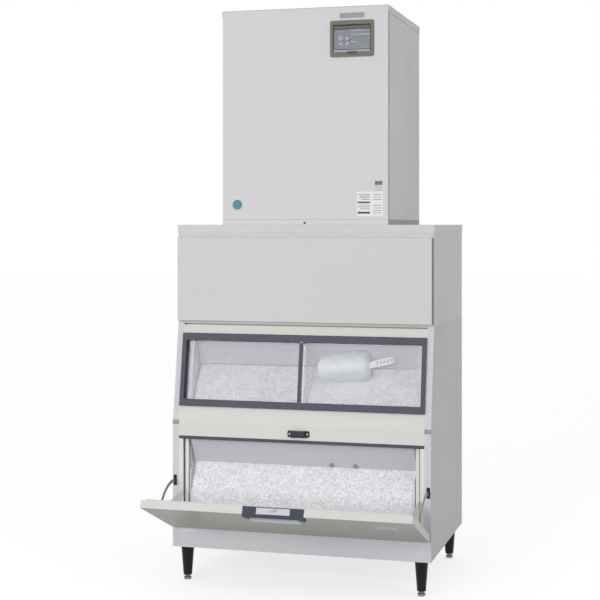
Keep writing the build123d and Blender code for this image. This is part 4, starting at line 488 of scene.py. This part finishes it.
def surface(name, points, material, body, poles=None, joined=True, smooth=True):
    """Makes a piece from a grid of points, rows by columns. With joined the columns close into a
    ring. poles are two points that close the first and the last row. Faces look to the side that
    the rows' step crossed with the columns' step points to."""
    rows, columns = points.shape[:2]
    index = np.arange(rows * columns).reshape(rows, columns)
    right = np.roll(index, -1, axis=1) if joined else index[:, 1:]
    left = index if joined else index[:, :-1]
    quads = np.stack([left[:-1], left[1:], right[1:], right[:-1]], axis=-1).reshape(-1, 4)
    vertices = points.reshape(-1, 3)
    corners = [quads.ravel()]
    counts = [np.full(len(quads), 4)]
    if poles is not None:
        vertices = np.concatenate([vertices, np.asarray(poles, float)])
        start = np.full(len(left[0]), rows * columns)
        corners.append(np.stack([start, left[0], right[0]], axis=-1).ravel())
        corners.append(np.stack([start + 1, right[-1], left[-1]], axis=-1).ravel())
        counts += [np.full(len(left[0]), 3)] * 2
    return mesh_piece(name, vertices, np.concatenate(corners), np.concatenate(counts), material, body, smooth)


def mesh_piece(name, vertices, corners, counts, material, body, smooth=True):
    """Puts whole arrays of vertices and face corners into a mesh, which then rides on a body."""
    mesh = bpy.data.meshes.new(name)
    mesh.vertices.add(len(vertices))
    mesh.vertices.foreach_set("co", vertices.astype(np.float32).ravel())
    mesh.loops.add(len(corners))
    mesh.loops.foreach_set("vertex_index", corners.astype(np.int32))
    mesh.polygons.add(len(counts))
    mesh.polygons.foreach_set("loop_start", (np.cumsum(counts) - counts).astype(np.int32))
    mesh.polygons.foreach_set("use_smooth", np.full(len(counts), smooth))
    mesh.update(calc_edges=True)
    mesh.validate()
    mesh.materials.append(material)
    piece = bpy.data.objects.new(name, mesh)
    bpy.context.scene.collection.objects.link(piece)
    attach(piece, body)
    return piece


# %% [markdown]
# ## Plates, bars and labels
# A label or a plate is a rounded outline that is carried through a few steps: a little inwards
# and up over its edge, then flat to the middle. The first step is its back and the last its
# face. Several like plates make one piece when their meshes are joined end to end.

# %% Rounded plates


def rounded_outline(width, height, corner, inset, steps=4):
    """Points round a rectangle with arcs at its corners: half the size less the corner, plus the
    corner's radius times the cosine and sine, one quarter turn at each corner in turn."""
    inset = np.asarray(inset, float)[:, None, None]
    turn = np.linspace(0, np.pi / 2, steps)[None, :] + np.arange(4)[:, None] * np.pi / 2
    radius = np.maximum(corner - inset, 0.02)
    across = np.array([1, -1, -1, 1])[:, None] * (width / 2 - inset - radius) + radius * np.cos(turn)
    along = np.array([1, 1, -1, -1])[:, None] * (height / 2 - inset - radius) + radius * np.sin(turn)
    return across.reshape(len(inset), -1), along.reshape(len(inset), -1)


def plate_points(centre, right, up, width, height, thick, corner, edge):
    """The rings of a plate and its two poles. centre is on the face that carries it, right and up
    are unit vectors along it, and the plate stands out along right cross up."""
    right, up = np.asarray(right, float), np.asarray(up, float)
    out = np.cross(right, up)
    inset = np.array([0.0, 0.0, edge * 0.3, edge])
    lift = np.array([0.0, thick - edge, thick - edge * 0.3, thick])
    across, along = rounded_outline(width, height, corner, inset)
    rings = across[..., None] * right + along[..., None] * up + lift[:, None, None] * out
    poles = np.stack([0 * out, thick * out])
    return np.asarray(centre, float) + rings, np.asarray(centre, float) + poles


def plates(name, places, material, body, turn=None):
    """Several plates as one piece. places lists plate_points' arguments in millimetres, and turn
    is a function that moves their points, such as the door's swing."""
    vertices, corners, counts, start = [], [], [], 0
    for place in places:
        rings, poles = plate_points(*place)
        rows, columns = rings.shape[:2]
        index = np.arange(rows * columns).reshape(rows, columns) + start
        following = np.roll(index, -1, axis=1)
        quads = np.stack([index[:-1], following[:-1], following[1:], index[1:]], axis=-1).reshape(-1, 4)
        back = np.full(columns, start + rows * columns)
        corners += [quads.ravel(), np.stack([back, following[0], index[0]], axis=-1).ravel(),
                    np.stack([back + 1, index[-1], following[-1]], axis=-1).ravel()]
        counts += [np.full(len(quads), 4), np.full(2 * columns, 3)]
        vertices.append(np.concatenate([rings.reshape(-1, 3), poles]))
        start += rows * columns + 2
    points = np.concatenate(vertices)
    points = points if turn is None else turn(points)
    return mesh_piece(name, spot(*points.T), np.concatenate(corners), np.concatenate(counts), material, body, False)


RIGHT, UP = (1, 0, 0), (0, 0, 1)


def on_front(x, z, width, height, thick, y, corner=1.0, edge=0.3):
    """A plate on a face that looks to the front. x and z are its limits' middle."""
    return ((x, y, z), RIGHT, UP, width, height, thick, corner, edge)


# %% [markdown]
# ## The head's small plates
# The head carries a name plate, a round badge and three labels, all bare here. The name plate is
# a pale strip in a grey rim, the badge is teal enamel, and the big white label has two dark bars
# where a printed table would be.

# %% Name plate, badge and labels
plates("name_plate_rim", [on_front(182, BIN_TOP + 766, 98, 24, 1.6, HEAD_FACE, 2.0, 0.5)], PLATE_ALLOY, "cabinet")
plates("name_plate_face", [on_front(182, BIN_TOP + 766, 92, 18, 1.9, HEAD_FACE, 1.2, 0.3)], NAME_ALLOY, "cabinet")
plates("white_label", [on_front(248.6, BIN_TOP + 76, 98, 90, 0.4, HEAD_FACE, 2.0, 0.1)], LABEL_WHITE, "cabinet")
plates("label_bars", [on_front(226, BIN_TOP + 81.5, 46, 5.5, 0.5, HEAD_FACE, 0.6, 0.1),
                      on_front(226, BIN_TOP + 43.8, 46, 7.0, 0.5, HEAD_FACE, 0.6, 0.1)], LABEL_INK, "cabinet")
label_lines = [on_front(226 + 0.5 * shift, BIN_TOP + z, 46 - shift, 2.0, 0.5, HEAD_FACE, 0.3, 0.1)
               for z, shift in ((110, 0), (104, 8), (98, 4), (92, 14), (72, 6), (65, 0), (58, 10))]
label_lines += [on_front(277, BIN_TOP + z, 32, 2.0, 0.5, HEAD_FACE, 0.3, 0.1) for z in (110, 101, 92, 70, 61, 52, 43)]
plates("label_lines", label_lines, LABEL_GREY, "cabinet")
plates("grey_label", [on_front(281.5, BIN_TOP + 152, 28, 14, 0.5, HEAD_FACE, 1.0, 0.1)], LABEL_GREY, "cabinet")
plates("faint_label", [on_front(281, BIN_TOP + 133.5, 26, 17, 0.4, HEAD_FACE, 1.0, 0.1)], LABEL_PALE, "cabinet")

# %% [markdown]
# ## Turned pieces
# A badge, a knob and a screw head are all turned: a profile of radius against height, carried
# round an axis. Each ring is the radius times the cosine and sine of the angle, in two directions
# square to the axis, plus the height along it.

# %% Turned pieces


def turned_points(profile, centre, axis, steps=28):
    """Rings and poles of a turned piece. profile is (radius, height) from back to front."""
    axis = np.asarray(axis, float) / np.linalg.norm(axis)
    side = np.cross(axis, (0.31, 0.17, 0.93))
    side /= np.linalg.norm(side)
    other = np.cross(axis, side)
    radius, height = np.asarray(profile, float).T
    angle = np.linspace(0, 2 * np.pi, steps, endpoint=False)
    ring = np.cos(angle)[:, None] * side + np.sin(angle)[:, None] * other
    rings = radius[:, None, None] * ring + height[:, None, None] * axis
    poles = np.stack([height[0] * axis, height[-1] * axis])
    return np.asarray(centre, float) + rings, np.asarray(centre, float) + poles


def turned(name, profile, centres, axis, material, body, turn=None, steps=28):
    """One or more like turned pieces in one mesh, at places in millimetres."""
    vertices, corners, counts, start = [], [], [], 0
    for centre in centres:
        rings, poles = turned_points(profile, centre, axis, steps)
        rows, columns = rings.shape[:2]
        index = np.arange(rows * columns).reshape(rows, columns) + start
        following = np.roll(index, -1, axis=1)
        quads = np.stack([index[:-1], following[:-1], following[1:], index[1:]], axis=-1).reshape(-1, 4)
        back = np.full(columns, start + rows * columns)
        corners += [quads.ravel(), np.stack([back, following[0], index[0]], axis=-1).ravel(),
                    np.stack([back + 1, index[-1], following[-1]], axis=-1).ravel()]
        counts += [np.full(len(quads), 4), np.full(2 * columns, 3)]
        vertices.append(np.concatenate([rings.reshape(-1, 3), poles]))
        start += rows * columns + 2
    points = np.concatenate(vertices)
    points = points if turn is None else turn(points)
    return mesh_piece(name, spot(*points.T), np.concatenate(corners), np.concatenate(counts), material, body)


SCREW = [(4.0, 0.0), (4.0, 0.5), (3.4, 1.4), (2.0, 1.9), (0.9, 1.9), (0.7, 1.2)]
OUT = (0, -1, 0)
turned("badge_rim", [(20.0, 0), (20.0, 1.2), (19.0, 1.8), (18.2, 1.8), (18.0, 1.2)], [(-259, HEAD_FACE, BIN_TOP + 75)],
       OUT, PLATE_ALLOY, "cabinet", steps=64)
turned("badge_face", [(17.9, 0), (17.9, 1.5), (12.0, 1.9), (5.0, 2.1)], [(-259, HEAD_FACE, BIN_TOP + 75)],
       OUT, TEAL_ENAMEL, "cabinet", steps=64)
turned("head_screw", SCREW, [(2, HEAD_FACE, BIN_TOP + 7)], OUT, DARK_STEEL, "cabinet")

# %% [markdown]
# ## The control panel's print
# Behind the smoked flap are two round keys with two round lamps below them, and pale printed
# bars. The marks stand a few tenths proud of the panel, as a printed film does.

# %% Control panel
KEY_FACE = HEAD_FACE + 10.0
marks = [on_front(218, BIN_TOP + 712, 66, 3.4, 0.25, KEY_FACE, 0.6, 0.1), on_front(218, BIN_TOP + 697.5, 66, 3.0, 0.25, KEY_FACE, 0.6, 0.1)]
marks += [on_front(178.5, BIN_TOP + z, 4.4, 4.4, 0.25, KEY_FACE, 0.6, 0.1) for z in (712, 697.5)]
marks += [on_front(185.5, BIN_TOP + 670.5, 23, 3.6, 0.25, KEY_FACE, 0.6, 0.1), on_front(147, BIN_TOP + 709, 15, 2.4, 0.25, KEY_FACE, 0.5, 0.1)]
plates("panel_marks", marks, PANEL_INK, "cabinet")
faint = [on_front(212 - 0.5 * shift, BIN_TOP + z, 74 - shift, 1.4, 0.2, KEY_FACE, 0.3, 0.08)
         for z, shift in ((704, 8), (690, 20), (685, 4), (680, 26), (660, 40), (655, 44), (650, 40))]
faint += [on_front(x, BIN_TOP + z, 9, 1.4, 0.2, KEY_FACE, 0.3, 0.08) for x, z in ((137, 702), (162, 703), (137, 695), (164, 695), (240, 672), (236, 664))]
plates("panel_small_marks", faint, LABEL_GREY, "cabinet")
turned("panel_lamps", [(6.6, 0), (6.6, 0.6), (5.8, 1.3), (2.5, 1.6)], [(138, KEY_FACE, BIN_TOP + 664), (160.5, KEY_FACE, BIN_TOP + 664)],
       OUT, PANEL_INK, "cabinet")
FLAP_FACE = HEAD_FACE - 2.0
# The dark strips round the flap stand for the shadows in the gaps between flap and surround: painted shade.
GAP_SHADE_PAINT = finish("painted_gap_shade", paint(44, 45, 43), "moulded_stipple", 0.5, 0.1, gloss=0.15)
RAIL_PLASTIC = finish("rail_plastic", paint(106, 107, 103), "moulded_stipple", 0.4, 0.1, gloss=0.2)
BAR_PLASTIC = finish("bar_plastic", paint(176, 176, 173), "moulded_stipple", 0.35, 0.08)
TAB_PLASTIC = finish("tab_plastic", paint(88, 86, 73), "moulded_stipple", 0.4, 0.15, gloss=0.2)
plates("flap_rail", [on_front(182, BIN_TOP + 722.5, 139, 9.5, 0.8, FLAP_FACE, 0.8, 0.2)], RAIL_PLASTIC, "flap")
plates("flap_shadow_lines", [on_front(182, BIN_TOP + 728.6, 140, 1.6, 0.9, FLAP_FACE, 0.4, 0.1),
                             on_front(182, BIN_TOP + 716.6, 139, 1.6, 0.9, FLAP_FACE, 0.4, 0.1),
                             on_front(182, BIN_TOP + 641.0, 139, 1.6, 0.9, FLAP_FACE, 0.4, 0.1),
                             on_front(112.6, BIN_TOP + 680, 1.8, 96, 0.9, FLAP_FACE, 0.4, 0.1),
                             on_front(251.4, BIN_TOP + 680, 1.8, 96, 0.9, FLAP_FACE, 0.4, 0.1)],
       GAP_SHADE_PAINT, "flap")
plates("flap_foot_bar", [on_front(182, BIN_TOP + 636.5, 137, 6.5, 0.8, FLAP_FACE, 0.8, 0.2)], BAR_PLASTIC, "flap")
plates("flap_tab", [on_front(181.5, BIN_TOP + 628.5, 38, 11, 1.6, HEAD_FACE - 4.1, 1.5, 0.5)], TAB_PLASTIC, "flap")
turned("run_ring", [(8.2, 0), (8.2, 0.5), (7.4, 0.8), (6.9, 0.5), (6.8, 0.1)], [(138, HEAD_FACE + 5, BIN_TOP + 683)], OUT, PANEL_INK, "run_key")
turned("stop_ring", [(8.2, 0), (8.2, 0.5), (7.4, 0.8), (6.9, 0.5), (6.8, 0.1)], [(160.5, HEAD_FACE + 5, BIN_TOP + 683)], OUT, PANEL_INK, "stop_key")

# %% [markdown]
# ## Bands, clip and screws on the bin
# Where the pillars fold from the slope to the upright part, a grey band covers the joint. It is
# an outline in side view, carried straight across the pillar's width. The striker and the latch
# plate are each held by two screws, and the mullion has a small white clip at its top.

# %% Pillar bands


def fold_band(x_low, x_high):
    """The band's outline, front and back of a thin strip over the fold, at two places across.
    Rows are the two ends, columns the outline."""
    lean = 60.0 / 365.0
    y = np.array([-60.8, -60.8, -60.8 + 8 * lean, -59.2 + 8 * lean, -59.2, -59.2])
    z = np.array([FOLD - 8, FOLD, FOLD + 8, FOLD + 8, FOLD, FOLD - 8])
    x = np.array([x_low, x_high])[:, None]
    return spot(x, y[None, :], z[None, :])


for side, low, high in (("left", -488.6, -463.4), ("right", 463.4, 488.6)):
    band = fold_band(low, high)
    surface(f"fold_band_{side}", band, GREY_PLASTIC, "cabinet", poles=band.mean(axis=1), smooth=False)

plates("mullion_clip", [((1.0, -20.0, 898.0), RIGHT, (0, 0.1622, 0.9868), 10, 7, 3, 1.5, 0.8)], GREY_PLASTIC, "right_window")
plates("apron_label", [on_front(-424, 192, 54, 8, 0.4, STEP_FACE, 1.0, 0.1)], LABEL_WHITE, "cabinet")
turned("striker_screws", SCREW, [(-33, -64, 568), (33, -64, 568)], OUT, CHROME, "cabinet")

# %% [markdown]
# ## Knobs on the lower baffle
# Two clear caps hold the baffle near its foot. The baffle leans, so their axis is square to it:
# the baffle runs 44.5 mm back for every 102 mm down.

# %% Baffle knobs
BAFFLE_OUT = np.array([0.0, -0.9165, -0.3999])
baffle_foot = np.array([0.0, 0.0, SEAM - 517.0])
knob_place = baffle_foot + 9.0 * np.array([0.0, -0.3999, 0.9165])
turned("baffle_knobs", [(8.5, 0), (8.5, 2.5), (7.6, 5.6), (5.0, 7.0), (3.2, 6.6), (2.6, 4.6)],
       [knob_place + (110, 0, 0), knob_place + (199, 0, 0)], BAFFLE_OUT, GREY_PLASTIC, "cabinet")

# %% [markdown]
# ## Small things on the door
# The door is drawn closed and then swung open about its hinge, and what it carries goes the same
# way: a point turns about the hinge by the door's rest angle. The latch plate has two screws, and
# the door's outer face has one bare label.

# %% Door details
HINGE_Y, HINGE_Z, DOOR_OPEN = -80.0, 222.0, math.radians(67.3)


def opened(points):
    """Turns places on the closed door about the hinge to where they are at rest."""
    y, z = points[:, 1] - HINGE_Y, points[:, 2] - HINGE_Z
    new_y = HINGE_Y + y * math.cos(DOOR_OPEN) - z * math.sin(DOOR_OPEN)
    new_z = HINGE_Z + y * math.sin(DOOR_OPEN) + z * math.cos(DOOR_OPEN)
    return np.stack([points[:, 0], new_y, new_z], axis=-1)


turned("latch_screws", SCREW, [(-46, -80, 553), (46, -80, 553)], (0, 0, 1), CHROME, "door", turn=opened)
plates("door_label", [on_front(378, 439, 77, 44, 0.4, -94.0, 2.0, 0.1)], LABEL_WHITE, "door", turn=opened)

# %% [markdown]
# ## The ice
# The heap's side view is a closed line: up the front of the mouth, back under the lower baffle,
# out again under the window, up to the upper baffle's foot, and round the back. Carried across
# the tub it is a smooth block. Flaked ice is made of grains, so each point is pushed out along
# the line's normal by how close it is to the nearest grain's middle, with a slower swell
# beneath. The push fades at the ends and where the ice is hidden.

# %% Grains and swell


def grain(u, v, size, seed):
    """Distance to the nearest grain centre, in grain sizes. One centre lies at random in each
    square of a ruled sheet, and the nearest of the nine squares around wins."""
    rng = np.random.default_rng(seed)
    column, row = np.floor(u / size).astype(int), np.floor(v / size).astype(int)
    column0, row0 = column.min() - 1, row.min() - 1
    offsets = rng.random((column.max() - column0 + 3, row.max() - row0 + 3, 2))
    nearest = np.full(u.shape, 9.0)
    for step_u in (-1, 0, 1):
        for step_v in (-1, 0, 1):
            i, j = column + step_u, row + step_v
            away = offsets[i - column0, j - row0]
            distance = np.hypot(u / size - i - away[..., 0], v / size - j - away[..., 1])
            nearest = np.minimum(nearest, distance)
    return nearest


def swell(u, v, size, seed):
    """Smooth random hills: random heights on a ruled sheet, joined by smooth steps."""
    rng = np.random.default_rng(seed)
    a, b = u / size, v / size
    i, j = np.floor(a).astype(int), np.floor(b).astype(int)
    i0, j0 = i.min(), j.min()
    height = rng.random((i.max() - i0 + 2, j.max() - j0 + 2)) - 0.5
    fa, fb = a - i, b - j
    fa, fb = fa * fa * (3 - 2 * fa), fb * fb * (3 - 2 * fb)
    i, j = i - i0, j - j0
    low = height[i, j] * (1 - fa) + height[i + 1, j] * fa
    high = height[i, j + 1] * (1 - fa) + height[i + 1, j + 1] * fa
    return low * (1 - fb) + high * fb


# %% Ice heap
HEAP = np.array([
    (-21.7, 193.3), (-21.7, 252.3), (-56.0, 252.3), (-53.0, 276.0), (-39.0, 340.0), (-12.0, 401.0), (1.0, 433.0),
    (4.0, 446.0), (-21.7, 517.0), (-21.7, 595.0), (-10.2, 665.0), (33.6, 748.5), (68.0, 799.0), (76.0, 802.0),
    (165.0, 893.0), (576.7, 793.0), (576.7, 193.3),
])
SHOWN = [0, 0, 0, 0.6, 1, 1, 1, 0, 0, 0, 1, 1, 1, 0, 0, 0, 0]
STEP = 3.0
line, push = [], []
for k, (start_point, shown) in enumerate(zip(HEAP, SHOWN)):
    end_point = HEAP[(k + 1) % len(HEAP)]
    shown_next = SHOWN[(k + 1) % len(HEAP)]
    length = float(np.hypot(*(end_point - start_point)))
    pieces_here = max(1, int(round(length / STEP))) if (shown or shown_next) and length < 150 else 1
    t = np.arange(pieces_here)[:, None] / pieces_here
    line.append(start_point + (end_point - start_point) * t)
    push.append((shown + (shown_next - shown) * t).ravel())
line, push = np.concatenate(line), np.concatenate(push)
ahead, behind = np.roll(line, -1, axis=0), np.roll(line, 1, axis=0)
along = ahead - behind
normal = np.stack([-along[:, 1], along[:, 0]], axis=-1) / np.hypot(*along.T)[:, None]
travel = np.cumsum(np.hypot(*(line - behind).T))
HALF = 423.0
x = np.linspace(-HALF, HALF, int(2 * HALF / STEP))
u, v = np.meshgrid(x + HALF, travel - travel.min(), indexing="ij")
edge_fade = np.clip((HALF - np.abs(x)) / 12.0, 0, 1)[:, None]
rise = 2.6 * (0.6 - grain(u, v, 12.0, 3)) + 1.6 * (0.5 - grain(u, v, 6.5, 5)) + 4.0 * swell(u, v, 90.0, 8) + 2.6 * swell(u, v, 34.0, 9)
rise = rise * push[None, :] * edge_fade
y = line[None, :, 0] + normal[None, :, 0] * rise
z = line[None, :, 1] + normal[None, :, 1] * rise
heap = spot(x[:, None], y, z)
middle = np.array([250.0, 520.0])
ends = spot(np.array([-HALF, HALF]), middle[0], middle[1])
ice = surface("flaked_ice", heap, ICE, "cabinet", poles=ends)
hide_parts("ice_heap")
print("ice grid:", heap.shape)

# %% [markdown]
# ## The floor, the walls and the light
# The photograph is a cut-out on white, so the floor and the world are white to the camera and to
# what mirrors them, and plain pale grey to everything else. That keeps the light on the machine
# honest. The floor still darkens under the feet, because only part of its white is its own glow.

# %% Floor


def white_to_the_eye(tree):
    """1 for rays from the camera, and for those that a mirror or a pane sends on before they
    have met a dull surface. Light that only brightens something else gets 0."""
    path = add(tree, "ShaderNodeLightPath").outputs
    mirrored = sums(tree, "MAXIMUM", path["Is Glossy Ray"], path["Is Transmission Ray"])
    fresh = sums(tree, "LESS_THAN", path["Diffuse Depth"], 0.5)
    return sums(tree, "MAXIMUM", path["Is Camera Ray"], sums(tree, "MULTIPLY", mirrored, fresh))


floor_paint = bpy.data.materials.new("floor_paint")
floor_paint.use_nodes = True
tree = floor_paint.node_tree
shader = tree.nodes["Principled BSDF"]
shader.inputs["Base Color"].default_value = (0.4, 0.4, 0.4, 1)
shader.inputs["Roughness"].default_value = 0.9
shader.inputs["Emission Color"].default_value = (1, 1, 1, 1)
seen = white_to_the_eye(tree)
tree.links.new(sums(tree, "MULTIPLY", seen, 0.72), shader.inputs["Emission Strength"])
half = 30.0
floor_grid = np.stack(np.meshgrid([-half, half], [-half, half], indexing="ij") + [np.zeros((2, 2))], axis=-1)
floor_mesh = bpy.data.meshes.new("floor")
floor_mesh.from_pydata(floor_grid.reshape(-1, 3).tolist(), [], [(0, 2, 3, 1)])
floor_mesh.materials.append(floor_paint)
floor = bpy.data.objects.new("floor", floor_mesh)
bpy.context.scene.collection.objects.link(floor)

# %% World
world = bpy.data.worlds.new("studio")
bpy.context.scene.world = world
world.use_nodes = True
tree = world.node_tree
seen = white_to_the_eye(tree)
level = sums(tree, "MULTIPLY_ADD", seen, 1.0 - 0.5, 0.5)
tree.links.new(level, tree.nodes["Background"].inputs["Strength"])
tree.nodes["Background"].inputs["Color"].default_value = (1, 1, 1, 1)

# %% [markdown]
# ## Lamps
# One large soft lamp stands to the left of the camera and above it, and lights the front and the
# inside of the mouth. A weaker one on the right keeps the side a step darker than the front.
# Panes and chrome mirror the white room and not the lamps, as a photographer sees to by moving
# the lamps until their glare is out of the picture.

# %% Lamps


def soft_lamp(name, place, aim, size, watts):
    """A square lamp at a place, turned to face the aim."""
    light = bpy.data.lights.new(name, "AREA")
    light.shape = "RECTANGLE"
    light.size, light.size_y = size
    light.energy = watts
    lamp = bpy.data.objects.new(name, light)
    from_to = np.asarray(aim, float) - np.asarray(place, float)
    yaw = math.atan2(-from_to[0], from_to[1])
    pitch = math.atan2(from_to[2], math.hypot(from_to[0], from_to[1]))
    lamp.location = place
    lamp.rotation_euler = (math.radians(90) + pitch, 0, yaw)
    lamp.visible_glossy = False
    bpy.context.scene.collection.objects.link(lamp)
    return lamp


soft_lamp("front_lamp", (-1.4, -5.4, 1.7), (0, 0, 0.9), (3.2, 2.4), 160)
soft_lamp("side_lamp", (4.6, -2.4, 3.0), (0.4, 0.2, 1.4), (2.4, 2.4), 46)
